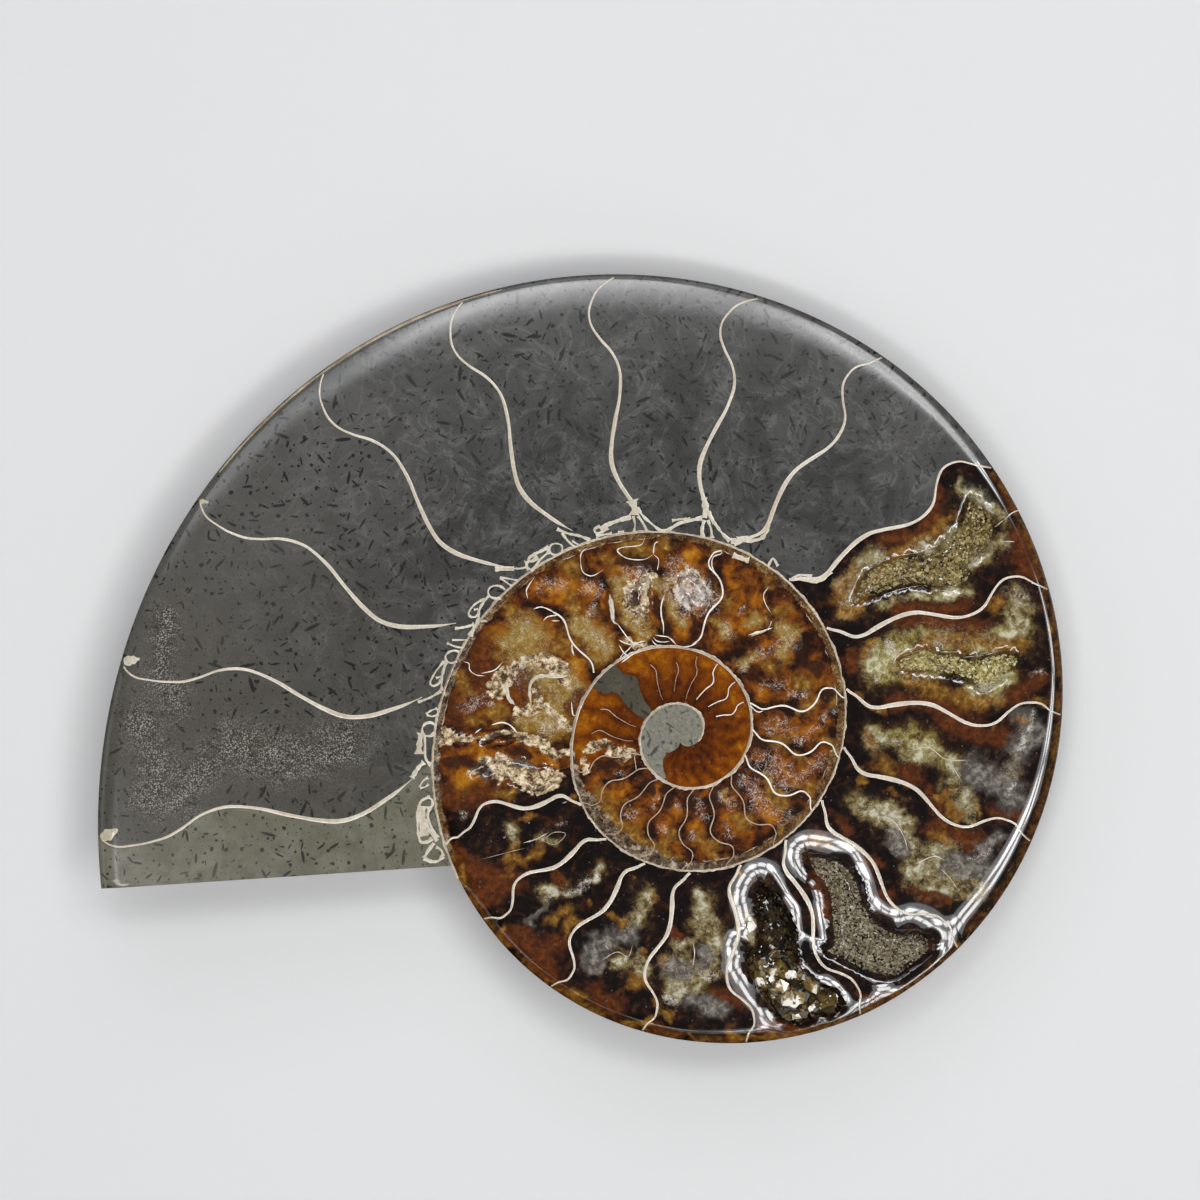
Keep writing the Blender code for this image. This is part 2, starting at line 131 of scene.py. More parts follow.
# Partitions between the chambers: (turn at the waist, crest above the waist, belly below it, kind).
partitions = {
    "shares": [0, .02, .05, .1, .15, .2, .27, .35, .4, .45, .5, .55, .62, .7, .75, .8, .85, .9, .94,
               .97, 1],
    "footBack": [-3, -1.9, -.3, 2, 3.6, 4.8, 5.3, 4.2, 3.2, 2.2, 1.2, .5, 0, .7, 1.8, 2.5, 2.5, 1.8,
                 .9, -.3, -2],
    "footAhead": [15, 13, 11, 7.3, 6.2, 6.3, 6.3, 5.8, 5, 3.6, 2.1, .8, 0, .6, 2.3, 3.4, 3.5, 3.1,
                  2, 1.5, 1.1],
    "second": [15, 13.5, 11.2, 7.7, 6.3, 6.1, 5.9, 5, 3.7, 2, .5, 0, .8, 3.3, 6.3, 7, 6.5, 5.6, 3.4,
               2.2, 1.5],
    "third": [12, 11, 10, 9, 8.5, 8, 6.5, 5, 4, 3, 1.7, .6, .1, 2.5, 5, 5.6, 5.7, 5.5, 5.2, 5, 5],
    "places": [
        (-697, 1, 1, "third"), (-680, 1, 1, "third"), (-660.5, .8, 1, "third"),
        (-643.5, .5, .8, "third"), (-627, .4, .9, "third"), (-608, .6, .7, "third"),
        (-592, 1, 1.2, "third"), (-573, .9, 1, "third"), (-559, .5, .9, "third"),
        (-543.5, .7, 1.1, "third"), (-525.5, .9, .8, "second"), (-507.5, .9, .8, "second"),
        (-489.8, 1, .8, "second"), (-471, 1, .9, "second"), (-451.8, 1, 1, "second"),
        (-433.6, 1.15, 1.15, "second"), (-412, 1, 1, "second"), (-391.7, 1, 1, "second"),
        (-369.6, 1, 1, "second"), (-348.7, 1, 1, "second"), (-328.4, 1, 1, "second"),
        (-308.8, 1, .9, "second"), (-286.1, 1.05, .8, "second"), (-263.5, .8, .5, "second"),
        (-245, .9, .8, "second"), (-224.4, .7, .8, "second"), (-203.5, 1, .8, "second"),
        (-184.5, .7, .8, "second"), (-160.9, 1.3, 1.1, "footAhead"), (-138.7, 1.2, .9, "footAhead"),
        (-119, 1.2, .93, "footAhead"), (-98.9, 1.05, .88, "footAhead"),
        (-79.5, 1.1, 1, "footAhead"), (-58.6, 1, .97, "footAhead"), (-38.8, 1, 1, "footAhead"),
        (-18.1, 1, 1, "footAhead"), (1.9, 1, 1, "footAhead"), (22.7, .9, 1, "footAhead"),
        (42.3, .95, .95, "footAhead"), (62.4, .85, .88, "footAhead"), (81.5, 1.2, .9, "footBack"),
        (99.7, 1.1, .9, "footBack"), (118, 1, 1, "footBack"), (135.8, .92, 1.06, "footBack"),
        (153.3, .95, 1.12, "footBack"), (171.4, 1, 1.02, "footBack"), (188.9, .92, .98, "footBack"),
    ],
    "ends": {28: 5.9, 37: -1.2, 38: -1.8, 39: -.5, 44: .3, 45: 1.1, 46: .9},  # degrees past the waist
    "endReach": 0.18,           # share over which a partition is drawn to such an end
    "waistShare": (0.56, 0.62),  # where the crest starts: in the inner kinds, in the foot kinds
    "outside": (16.0, 17.0),    # degrees before the first partition and after the last
    "mudAfter": 38,             # number of the partition past which the chambers hold grey mud
}


def smoothTable(x, places, values):
    # cubic curve through a table, its slope at each entry taken from the entries on either side
    places, values = np.asarray(places, float), np.asarray(values, float)
    slopes = np.gradient(values, places)
    i = np.clip(np.searchsorted(places, x, side="right") - 1, 0, len(places) - 2)
    gap = places[i + 1] - places[i]
    t = (x - places[i]) / gap
    return ((1 + 2 * t) * (1 - t)**2 * values[i] + t * (1 - t)**2 * gap * slopes[i]
            + t * t * (3 - 2 * t) * values[i + 1] - t * t * (1 - t) * gap * slopes[i + 1])


def partitionTurn(number, share):
    # turn of a partition at a share: the waist plus the kind's curve, its crest and belly scaled apart,
    # drawn near the outer wall toward an end of its own
    waist, crest, belly, kind = partitions["places"][number]
    share = np.asarray(share, float)
    curve = smoothTable(share, partitions["shares"], partitions[kind])
    waistShare = partitions["waistShare"][kind.startswith("foot")]
    curve = curve * np.where(share > waistShare, crest, belly)
    if number in partitions["ends"]:
        pull = partitions["ends"][number] - partitions[kind][-1] * crest
        curve = curve + pull * np.clip((share - 1) / partitions["endReach"] + 1, 0, 1)**1.6
    return waist + curve


def chamberPhase(turn, share):
    # partition count that grows steadily with the turn, whole numbers on the partitions, and the
    # degrees between the two partitions on either side
    curves = np.stack([partitionTurn(n, share) for n in range(len(partitions["places"]))])
    before, after = partitions["outside"]
    first, last = curves[0] - before, curves[-1] + after
    curves = np.concatenate([first[None], curves, last[None]])
    behind = np.clip((turn[None] >= curves).sum(0) - 1, 0, len(curves) - 2)
    low = np.take_along_axis(curves, behind[None], 0)[0]
    high = np.take_along_axis(curves, behind[None] + 1, 0)[0]
    return behind - 1 + (turn - low) / (high - low), high - low


# Hollows left open in the chambers, and small bare openings: outline, depth, width of the sloping
# edge, and how far round them the polish falls away.
hollows = {
    "boot": {
        "outline": [10.7, -19.9, 11.9, -20.5, 13.3, -21.9, 14.3, -23.4, 14.9, -25, 15.3, -27, 15.4, -28.9,
                    15.7, -30.7, 16.7, -31.9, 18.1, -33.1, 19.8, -33.7, 21.2, -34.6, 21.6, -35.8, 20.8,
                    -37, 19.6, -37.9, 17.9, -37.4, 16.5, -38.4, 15.3, -38.4, 14.3, -38.8, 13, -38.2,
                    11.8, -36.2, 10.4, -34.5, 8.8, -31.7, 8.7, -30, 8.6, -28.9, 9.3, -28.4, 9.9, -28.4,
                    9.9, -27.4, 10.4, -25.6, 9.9, -24.2, 9.6, -21.9],
        "depth": 4.4, "slope": 1.7, "ease": 5.0, "easeDrop": 0.6},
    "bean": {
        "outline": [16.9, -16.2, 18.9, -16.1, 20.8, -16.6, 22.4, -17.5, 23.8, -19.7, 24.7, -22.5, 25.9,
                    -24.4, 27.3, -25.6, 29.3, -26.4, 31.6, -26.3, 33.4, -27.2, 33.7, -28.6, 32.6,
                    -30.1, 30.6, -31.5, 28.9, -32.7, 27.3, -32.8, 25.3, -32.2, 23.2, -31.3, 20.8,
                    -30.1, 18.9, -29.1, 20, -27.8, 19.8, -25, 19.6, -21.9, 18.7, -19.9, 17.3, -18.5],
        "depth": 1.5, "slope": 1.6, "ease": 5.0, "easeDrop": 0.58},
    "upper": {
        "outline": [22.8, 17.9, 24.5, 21.7, 26.7, 23.2, 29, 24, 31.4, 24.4, 33.8, 25, 35.3, 26.4, 36.9,
                    27.8, 37.7, 29.7, 38.3, 31.5, 39.3, 32.1, 40.6, 30.7, 42, 29.1, 42, 27.6, 41.6,
                    25.8, 40, 24, 38.9, 22.8, 38.5, 20.9, 37.5, 19.7, 34.5, 19.6, 31.8, 20, 29.6, 19.8,
                    27.1, 19, 24.9, 18.1],
        "depth": 1.8, "slope": 1.3, "ease": 1.0, "easeDrop": 0.08},
    "lower": {
        "outline": [29.4, 10.5, 31, 11.3, 33, 11.6, 34.9, 11.1, 36.9, 11.2, 37.9, 10.4, 39.9, 10.7, 41.8,
                    11, 43.4, 11.2, 45, 10.8, 45.3, 9.7, 43.8, 8.3, 42.4, 6.9, 40, 6.3, 38.3, 7.3, 36.5,
                    7.9, 33.8, 8.3, 31.4, 8.5, 29.6, 8.7, 28.8, 9.7],
        "depth": 1.8, "slope": 1.2, "ease": 1.0, "easeDrop": 0.08},
    "darkCrack": {"outline": [-27.2, -1, -24.5, -.2, -22, -.6, -24.6, -1.5], "depth": 1.2, "slope": .5},
    "tanDruse": {"outline": [-28.4, -5.6, -24, -2.9, -19.5, -3.8, -16.2, -4.4, -18.6, -7.4, -22, -6.8,
                             -25.2, -5], "depth": .6, "slope": .6},
    "leftVug": {"outline": [-6.6, 18.4, -5.6, 21.2, -4.2, 20.8, -4.3, 17.2, -5.4, 16.4],
                "depth": .9, "slope": .7},
    "rightVug": {"outline": [-.6, 21, 1.2, 21.6, 3.6, 19, 2.6, 16.4, .4, 18.2],
                 "depth": .9, "slope": .7},
}


def smoothLoop(flat, steps=4):
    # closed even curve through given places, a few short steps between each two
    corners = np.reshape(flat, (-1, 2)).astype(float)
    a, b, c, d = (np.roll(corners, k, 0)[:, None] for k in (1, 0, -1, -2))
    u = (np.arange(steps) / steps)[None, :, None]
    return curveThrough(a, b, c, d, u).reshape(-1, 2)


for hollow in hollows.values():
    hollow["outline"] = smoothLoop(hollow["outline"])


def segmentDistance(x, y, points):
    # shortest distance from each place to a chain of straight segments
    best = np.full(x.shape, 1e9)
    for (ax, ay), (bx, by) in zip(points[:-1], points[1:]):
        dx, dy = bx - ax, by - ay
        s = np.clip(((x - ax) * dx + (y - ay) * dy) / (dx * dx + dy * dy + 1e-12), 0, 1)
        best = np.minimum(best, np.hypot(x - ax - s * dx, y - ay - s * dy))
    return best


def outlineDistance(x, y, outline):
    # distance to a closed outline, positive inside it
    closed = np.concatenate([outline, outline[:1]])
    hit = np.zeros(x.shape, bool)
    for (ax, ay), (bx, by) in zip(closed[:-1], closed[1:]):
        crosses = (ay > y) != (by > y)
        hit ^= crosses & (x < ax + (bx - ax) * (y - ay) / np.where(by == ay, 1.0, by - ay))
    return segmentDistance(x, y, closed) * np.where(hit, 1, -1)


# How the polish falls away at the rim, where the cut face meets the outside of the shell.
rim = {
    "edge": 1.3,                           # depth of the edge
    "table": [(-150, 1.5, .4), (-90, 1.8, .4), (-62, 3, .5), (-45, 5, .6), (-24, 4, .5), (-12, 3, .45),
              (0, 2.4, .42), (10, 1.6, .4), (25, 1.5, .4), (50, 2.6, .35), (70, 4.6, .3), (90, 5.6, .26),
              (112, 5.6, .3), (130, 5.2, .4), (150, 4.2, .45), (170, 3, .45),
              (210, 2.4, .45)],            # direction, width, drop
    "chamfer": (0.7, 0.3),                 # width and drop of the last rounding at the edge
    "fadeFrom": -146.4, "fadeOver": 8.0,   # no rounding where the last whorl starts
    "ragged": [(0.13, 1.5, 3), (0.08, 0.6, 5)],  # uneven edge of the hollows: reach, size, seed
    "floorKeep": 1.8,                      # stone kept between a hollow and the outside
}


def wander(x, y, size, seed):
    # slow smooth waves from -1 to 1, made of six sines of different directions
    total = np.zeros(np.shape(x))
    for k in range(6):
        angle = 2.4 * k + 1.7 * seed
        wave = (0.6 + 0.27 * k) * 2 * math.pi / size
        total += np.sin(wave * (x * math.cos(angle) + y * math.sin(angle)) + 2.1 * k * seed + seed)
    return total / 3.2


# Depth of the outside of the shell below the cut face.
flank = {
    "seam": 0.20, "shoulder": 0.40, "thickness": 0.1825,  # shares of the wall's radius
    "sawStep": 0.5,
    "lastTurn": 245.0, "openTurn": 150.0,  # where the whorl ends; past the second the saw has cut it
}


def whorlDepth(turn, radius, again=3):
    # deepest on the shoulder, falling to the outer wall along a rounded curve, and from the shoulder
    # down to the seam with the whorl inside
    wall = wallRadius(turn)
    share = radius / wall
    deepest = flank["thickness"] * wall
    edge = np.minimum(rim["edge"], 0.3 * deepest)
    v = np.clip((share - flank["shoulder"]) / (1 - flank["shoulder"]), 0, 1)
    outside = edge + (deepest - edge) * np.clip(1 - v**2.2, 0, 1)**0.62
    if again == 0:
        return outside
    seam = whorlDepth(turn - 360.0, flank["seam"] * wall, again - 1)
    rise = 1 - (1 - np.clip((share - flank["seam"]) / (flank["shoulder"] - flank["seam"]), 0, 1))**2.5
    inside = seam + (deepest - seam) * rise**0.8
    return np.where(share >= flank["shoulder"], outside, inside)


def flankWhorl(x, y, side):
    # turn of the whorl that shows on the outside at a place; side is how far the place lies on the
    # kept side of the saw line
    radius = np.hypot(x, y)
    direction = np.degrees(np.arctan2(y, x))
    shown = np.full(x.shape, np.nan)
    for whorl in (-1080.0, -720.0, -360.0, 0.0, 360.0):
        turn = direction + whorl
        real = (turn <= flank["lastTurn"]) & ((turn <= flank["openTurn"]) | (side > 0))
        fits = real & (radius >= flank["seam"] * wallRadius(turn) - 1e-6)
        shown = np.where(fits, turn, shown)
    return np.where(np.isnan(shown), direction - 1080.0, shown)


def flankDepth(x, y):
    # depth of the shown whorl, blended over the width of the saw's step
    a = polar(spiral["sawTurn"], wallRadius(spiral["sawTurn"]))
    b = polar(spiral["notchTurn"], wallRadius(spiral["notchTurn"]))
    along = (b - a) / np.hypot(*(b - a))
    side = along[0] * (y - a[1]) - along[1] * (x - a[0])
    radius = np.hypot(x, y)
    kept = whorlDepth(flankWhorl(x, y, np.ones(x.shape)), radius)
    bared = whorlDepth(flankWhorl(x, y, -np.ones(x.shape)), radius)
    share = np.clip(1 + side / flank["sawStep"], 0, 1)
    return bared + (kept - bared) * share


def faceHeight(x, y):
    # height of the cut face: level, falling at the rim and round the hollows, with bowls in the
    # hollows whose slope rounds out to a flat floor that keeps clear of the outside of the shell
    direction = np.degrees(np.arctan2(y, x))
    direction = np.where(direction < spiral["notchTurn"], direction + 360.0, direction)
    inward = np.clip(wallRadius(direction) - np.hypot(x, y), 0, None)
    fade = np.clip((direction - rim["fadeFrom"]) / rim["fadeOver"], 0, 1)
    places, widths, drops = zip(*rim["table"])
    height = 0
    for width, drop in ((np.interp(direction, places, widths), np.interp(direction, places, drops)),
                        rim["chamfer"]):
        height = height - drop * fade * np.clip(1 - inward / width, 0, 1)**2
    ragged = sum(reach * wander(x, y, size, seed) for reach, size, seed in rim["ragged"])
    bowls = np.zeros(np.shape(x))
    for hollow in hollows.values():
        distance = outlineDistance(x, y, hollow["outline"])
        share = np.clip((distance + ragged) / hollow["slope"], 0, 1)
        bowls -= hollow["depth"] * share * (2 - share)
        if "ease" in hollow:
            height -= hollow["easeDrop"] * np.clip(1 + distance / hollow["ease"], 0, 1)**2
    return height + np.maximum(bowls, np.minimum(rim["floorKeep"] - flankDepth(x, y) - height, 0))


# Strokes of stain in the crystal fill: half width, then places along the stroke.
stains = {
    "rust": [
        (1.1, 34.3, 32.5, 33.4, 29.4, 30.9, 26.9, 26.8, 26), (1.46, 45, 26.4, 45.8, 23, 47.2, 22.1), (.97,
         28.5, 16.9, 33.4, 17.2, 37.7, 17.5), (.73, 42.6, 33.3, 44.8, 30.6), (1.1, 30.4, 15, 35.3, 15, 40.2,
         14.5), (1.22, 44.1, 5.5, 46.8, 6.2, 48, 7.9), (.97, 22.6, 10.8, 22.9, 8.9), (.97, 28, 4.5, 37.7,
         3.8), (1.34, 35.2, 1.8, 38.8, .2, 43.2, -.4), (.97, 29.6, -4.3, 31, -5.7), (.97, 33, -7.4, 34.5,
         -9.9), (.97, 42, -10.3, 45.2, -10.8), (1.34, 34.2, -12.5, 37.6, -13.8, 39.6, -14.5), (.73, 21.1,
         -11.1, 22, -12.8), (.73, 25.2, -16.4, 26.7, -17.2), (.85, 32, -21.3, 35.2, -21.6), (.63, 26.7, -21.1,
         27.6, -21.6), (.73, 18.1, -18.6, 18.9, -22, 19.3, -24.5), (.97, 10.5, -39.3, 13.6, -39.1, 16.3,
         -39.8), (.83, -1.1, -26.2, -.3, -26.7), (1.22, -3.2, -39.6, -2, -39.8), (1.34, 4.8, -35, 6.8, -35.4),
        (.39, 24.1, -35, 28.2, -34.7), (1.46, -11.8, -34.8, -9.2, -36.1), (.97, -17.2, -27.5, -15.7, -27.3),
        (.49, -17, -18.3, -16.2, -20.2), (1.83, -22.3, -27, -19.1, -28.7, -18.2, -30.2), (.97, -20.1, -31.4,
         -16.7, -32.6), (1.95, -27.9, -18.3, -25, -19.2, -23.5, -19.2), (.97, -30.1, -15.8, -28.9, -16.3),
        (1.46, -27.7, -22.2, -25.7, -21.2), (1.46, -32.3, -8, -30.1, -8.8, -25.7, -7.8), (2.01, -27.3, 11.9,
         -26.2, 7.4, -29.6, 3), (1.34, -21.5, 7.4, -20.6, 5.2), (1.12, -18, 9.7, -17.1, 10.1), (1.34, -14.4,
         4.1, -13.5, 4.8), (1.12, -22.9, -6.6, -23.8, -6.9),
    ],
    "amber": [
        (1.3, 29.5, 9.2, 33.5, 12.8, 40, 12.4, 45.5, 12), (1.2, 30.5, 7.2, 36.5, 5.2, 42, 4.6), (1, 22.6,
         16.6, 26.6, 21.8, 31.6, 26, 36.4, 29.6), (1.1, 23.1, 22.1, 21.2, 19.4, 21.4, 16.9), (.73, 25.6, 12.6,
         24.3, 10.4), (.78, 42.4, 17.9, 41.6, 17.2), (.97, 29.5, 9.6, 32.9, 10.4), (.24, 32.6, 5.9, 32.6,
         4.8), (.39, 23.4, 5.7, 25.3, 3.8, 27, 3.3), (.39, 48.9, 15, 49.2, 14), (.54, 47.7, 4.5, 48.7, 4.3),
        (.73, 24.9, -.1, 25.2, -1.6), (1.1, 27.1, -3.8, 28.1, -4.7), (.54, 34.3, -8.5, 35.4, -7.9), (.68,
         39.8, -10.3, 40.3, -11.1), (.97, 35.9, -9.4, 36.9, -10.8), (.54, 24.2, -4.5, 24.7, -5.7), (.34, 42,
         1.1, 42.2, .4), (.49, 45.4, 2.3, 45.9, 2.1), (.49, 27.9, -7.2, 28.4, -7.4), (.83, 35.2, -13.5, 35.9,
         -14.5), (.39, 24, -6, 24.5, -5.7), (.61, 33.7, -13.3, 34.5, -13.8), (1.1, 17.2, -14.5, 19.3, -14.2),
        (.24, 7.4, -18.6, 7.5, -21.8, 7.9, -24.7), (.29, 6.1, -16.9, 7.3, -16.7), (.34, 9.2, -40.6, 15.1,
         -40.3), (.49, -2.7, -37.1, -1.7, -37.4), (.78, -2.5, -30, -2.2, -30.6), (.54, -3.3, -35.2, -3.1,
         -35.9), (.44, 4.8, -32.3, 5.3, -32.2), (.34, .7, -40.3, 2.4, -41), (.73, 7, -40.4, 7.8, -40.8), (.34,
         -7.8, -38.5, -5.4, -39.3, -3.4, -38), (.54, -4, -21.4, -3.9, -22.2), (.73, -9.6, -24.1, -8.2, -24.8),
        (.29, -6.1, -19, -5.7, -19.1), (.97, -7.2, -33.4, -5.7, -33.1), (.97, -15, -34.6, -13.8, -35.1), (.39,
         -5.1, -28.5, -4.8, -29), (.39, -7.9, -38.5, -6.2, -39, -3.8, -37.8), (.88, -16.2, -23.9, -15.3,
         -23.6), (.63, -17.9, -24.6, -16.7, -24.8), (.68, -14.5, -24.8, -15.5, -26.6), (.34, -12.2, -21.9,
         -12, -22.4), (.63, -22.8, -14.5, -22.3, -14.4), (.44, -20.9, -11.1, -20.4, -11.2), (.68, -23, -16.3,
         -21.1, -16.6, -19.1, -15.3), (.39, -23.3, -17.8, -22.8, -17.8), (.58, -24, -19.2, -22.8, -19.2),
        (.49, -29.6, -17.8, -29.1, -19.7), (.49, -25.7, -26.1, -24.5, -27, -24, -25.8), (.97, -24.5, -8, -23,
         -7.8), (.34, -15, -8.2, -14.3, -8.3), (1.23, -23.5, 17, -21.5, 15.9), (1.34, -15.3, 22.8, -13.9,
         22.2), (1.12, -14.8, 18.2, -14.4, 17), (1.34, -17.5, 11.9, -15.1, 11.9), (1.34, -24.4, 10.6, -23.3,
         10.1), (1.23, -29.8, 7.9, -28.7, 6.1), (1.34, -25.1, 3.4, -24, 2.3), (.89, -28.7, 1.6, -27.3, 1.4),
        (1.34, -19.5, 5.2, -17.7, 5.2), (1.07, -2.8, 25.7, -2.1, 25.2), (1.07, -7.8, 25, -4.9, 24.6), (.89,
         -10.3, 23.9, -9.2, 23.2), (.89, -14.9, 17.5, -14.6, 17.1), (1.07, 4.2, 25, 4.9, 25.3), (1.07, 5.8,
         18.2, 6.2, 17.5), (.71, -6, 26.4, -5.6, 26.2), (.54, -7.8, 12.8, -7.4, 12.5), (.43, -2.6, 20.7, -2.6,
         19.6), (.43, -2.8, 15.7, -2.8, 14.6), (.21, 3.3, 23.2, 3.8, 22.1, 4.9, 20.3, 4.9, 18.9, 3.3, 16.8),
        (.73, 11.3, 21.6, 11.5, 20.3), (.83, 12.3, 16.5, 14.5, 16.7), (.97, 11.3, 9.6, 12.3, 9.1), (1.12,
         15.4, 7.2, 16.7, 6.7), (.73, 19.6, 6.9, 20.3, 6.7), (.97, 15.9, 3.5, 17.9, 4), (.73, 20.1, 4.5, 20.6,
         5), (1.12, 12.5, -.6, 13.5, -1.1), (.88, 15.4, -2.8, 16.2, -3), (.58, 18.6, -.6, 20.3, -1.1), (.88,
         11.1, -5.2, 12, -6.7), (.97, 15.7, -7.2, 17.4, -7.4), (.97, 12.5, -8.6, 13.7, -9.1), (.97, 7.9,
         -11.1, 8.9, -11.6), (.63, 13.7, -13, 16.2, -11.1, 18.6, -7.2, 20.1, -4.3), (1.26, -11.3, -7.5, -9.4,
         -10.7, -6.9, -13.6, -2.9, -15.7), (1.05, -1.1, -13.4, -1.7, -14.4), (1.26, 2.5, -13.6, 4.6, -15.7),
        (.54, 7.7, -11.5, 8.4, -12.3), (.63, 11.1, -5, 11.9, -6.7), (.84, 11.9, -8.3, 13.4, -8.1), (.84, 13.4,
         -13.2, 15.1, -11.5), (.42, -8, -9, -7.3, -9.2), (.5, -1.7, -16.3, -.6, -16.5),
    ],
    "pale": [
        (2.1, -21.5, 10, -17.5, 7.5, -17, 4), (1.2, 30, -2.2, 32.8, -3), (1.3, 36.5, -18.6, 39.5, -20.4),
        (1.1, 3.6, -25, 4.2, -28.4), (1, 28.5, -13.2, 31, -14.6), (.8, 37.7, 33.8, 39, 32.5), (1.22, 26.3,
         24.5, 23.9, 22.8, 21.9, 20.1, 21.9, 16.9), (1.1, 30.4, 25, 33.8, 25.5, 36.8, 27.2), (.73, 26.3, 17.4,
         30.4, 18.6, 38.2, 19.1), (1.1, 40.2, 31.6, 42.9, 29.6), (.97, 38.5, 23.8, 39.9, 24.5, 42.9, 26),
        (1.71, 26.3, 10.8, 29.5, 12.6, 34.3, 13.5, 40.2, 12.3, 44.6, 14, 45.5, 16.9, 44.8, 18.9), (1.46, 25.3,
         8.7, 28, 8.4, 33.4, 8.2), (1.46, 39.2, 6.2, 41.2, 5.5, 42.9, 7.7), (1.22, 25.4, -.8, 28.1, .1, 31.5,
         -.1, 33.7, -1.8, 36.4, -3.5), (1.34, 36.4, -6.5, 37.9, -8.6, 38.8, -10.8), (.97, 44.2, -3.3, 44.2,
         -5), (1.46, 24.2, -9.6, 26.7, -10.1, 30.1, -12.1), (1.46, 31.5, -16.9, 33.7, -16.4, 35.7, -15.2),
        (1.71, 31.3, -18.6, 33, -19.6), (.97, 35.2, -19.9, 37.1, -20.8), (.73, 8.7, -23.7, 9.2, -27.6), (1.17,
         2.9, -21.3, 2.4, -24.2, 3.1, -26.2), (.68, -1, -27.8, 1.4, -27.5), (1.46, -1.5, -30.3, -.3, -30.8),
        (1.22, 3.4, -30.6, 4.1, -31.5), (1.46, 1.4, -33.3, -.5, -34.2), (1.02, -7.2, -25.3, -5.7, -23.6, -4.8,
         -21.9), (.63, -5.7, -29.2, -5, -31.2), (.83, -8.9, -30.7, -6.7, -30.4, -5.5, -32.2), (.97, -18.9,
         -21.2, -16.7, -20.9), (.54, -11.8, -19, -10.9, -17.8), (.63, -23, -12.4, -22.3, -13.9), (.54, -18.7,
         -14.1, -16.7, -14.4), (2.01, -22.9, 13.2, -19.7, 13, -19.5, 11.5), (1.12, -22, 15, -20.6, 15), (1.12,
         -21.5, 9.2, -19.7, 9.7), (1.34, -19.7, 6.1, -18, 6.5, -16.4, 6.1), (1.79, -20.6, 1.9, -18.4, 2.3,
         -17.1, 1.2), (1.34, -15.3, 7.9, -13.9, 6.1, -15.5, 5.7), (2.01, -13, 15, -11.7, 13.2, -11.3, 11.9),
        (.98, -14, 14.6, -12.2, 13.2, -10.5, 12.1, -10.1, 11.1), (1.07, -8.5, 20.7, -8.1, 18.2, -7.1, 16.1,
         -5.6, 13.9, -4.9, 13.9), (.89, -3.1, 19.8, -3.5, 20.7), (.89, -1.5, 18.2, -1.2, 16.4, -.3, 15.3),
        (.71, -2.4, 20.3, -1.5, 21.1), (1.07, 5.1, 15, 6, 13.9), (.97, 7.9, 9.6, 9.6, 10.6), (1.22, 13.5,
         14.3, 14.5, 13.3, 13.7, 11.3), (.97, 9.6, 15.5, 10.3, 15.7), (.42, 5.4, -7.5, 5.8, -8.6),
    ],
    "grey": [
        (2.19, 39.1, -5, 42.5, -6.2, 44.4, -7.9), (1.71, 46.1, 2.3, 46.9, -.1, 44.9, -2.1), (1.95, 36.4,
         -17.2, 40.3, -17.4), (1.1, 28.1, -13.3, 29.3, -15.5), (.73, 40.3, -14.7, 42.5, -13.3), (1.46, -1.5,
         -30.8, .2, -31.5), (.97, 2.7, -29.1, 3.1, -30.1), (1.22, 1.4, -35.7, 5.3, -36.7), (1.46, -12.1,
         -28.7, -10.4, -27.8), (1.46, -8.4, -27, -7, -26.6), (.97, -12.3, -30.9, -11.1, -30.4), (.39, -17.7,
         -22.2, -19.1, -23.9, -20.4, -25.1), (.45, -27.3, -4.6, -26.4, -6), (.54, -23.3, -3.7, -20.2, -4.6),
    ],
    "white": [
        (1.5, -.4, 18.6, 1.6, 19.8, 3, 18.2), (.8, -6.8, 19, -5, 20.4), (.34, 37.7, 32.5, 39.2, 31.6, 40.9,
         30.6), (.15, 24.6, 22.1, 26.3, 23, 28.5, 24, 31.4, 24.5, 34.3, 25.5, 36, 26.4), (.12, 27, 18.9, 29.7,
         19.7, 32.6, 20.1, 34.3, 19.5, 37.3, 19.5), (.22, 37.5, 20.1, 38.5, 21.6, 39, 23.5, 40.2, 24.5), (.29,
         21.2, 17.9, 23.1, 18), (.22, 41.9, 27.9, 43.1, 28.9), (.24, 42.9, 26, 44.6, 26), (.17, 29.5, 10.6,
         31.6, 11.3, 33.6, 11.6), (.15, 34.3, 11.2, 37, 11.2), (.17, 37.5, 10.5, 40.2, 10.7, 42.1, 11.2),
        (.54, 29.9, 9.8, 30.7, 9.6), (.49, 25.6, 7.7, 26, 7.7), (.39, 45, 18.9, 46.5, 18.6), (.44, 47.2, 8.4,
         48.2, 8.4), (.44, 27.8, 12.3, 28.5, 11.6), (.39, 33.8, 12.1, 34.6, 11.8), (.61, 39.7, 6.5, 41.6,
         6.7), (.24, 30.3, -2.1, 33, -1.6, 35.4, -3.2, 38.6, -3.3), (.19, 35.9, -3.3, 36.6, -4.7, 37.4, -6),
        (.29, 44.4, -2.1, 46.4, .1, 47.1, 3.3), (.17, 33.5, -.4, 34, -1.1), (.49, 43.7, -7.4, 44.7, -6.9),
        (.29, 28.1, -.6, 29.1, -1.1), (.22, 25.9, -10.8, 28.1, -11.3, 29.6, -13.3, 30.3, -15.5), (.24, 31.3,
         -17.2, 33.7, -16.2, 35.2, -16.7), (.19, 34.7, -17.9, 35.9, -19.1, 36.9, -20.6), (.29, 38.8, -16.3,
         41, -15.5), (.17, 7, -20.6, 7.8, -23.7), (.29, 9.7, -25.2, 9.5, -27.6), (.24, 1.4, -27.6, 1.7, -29.1,
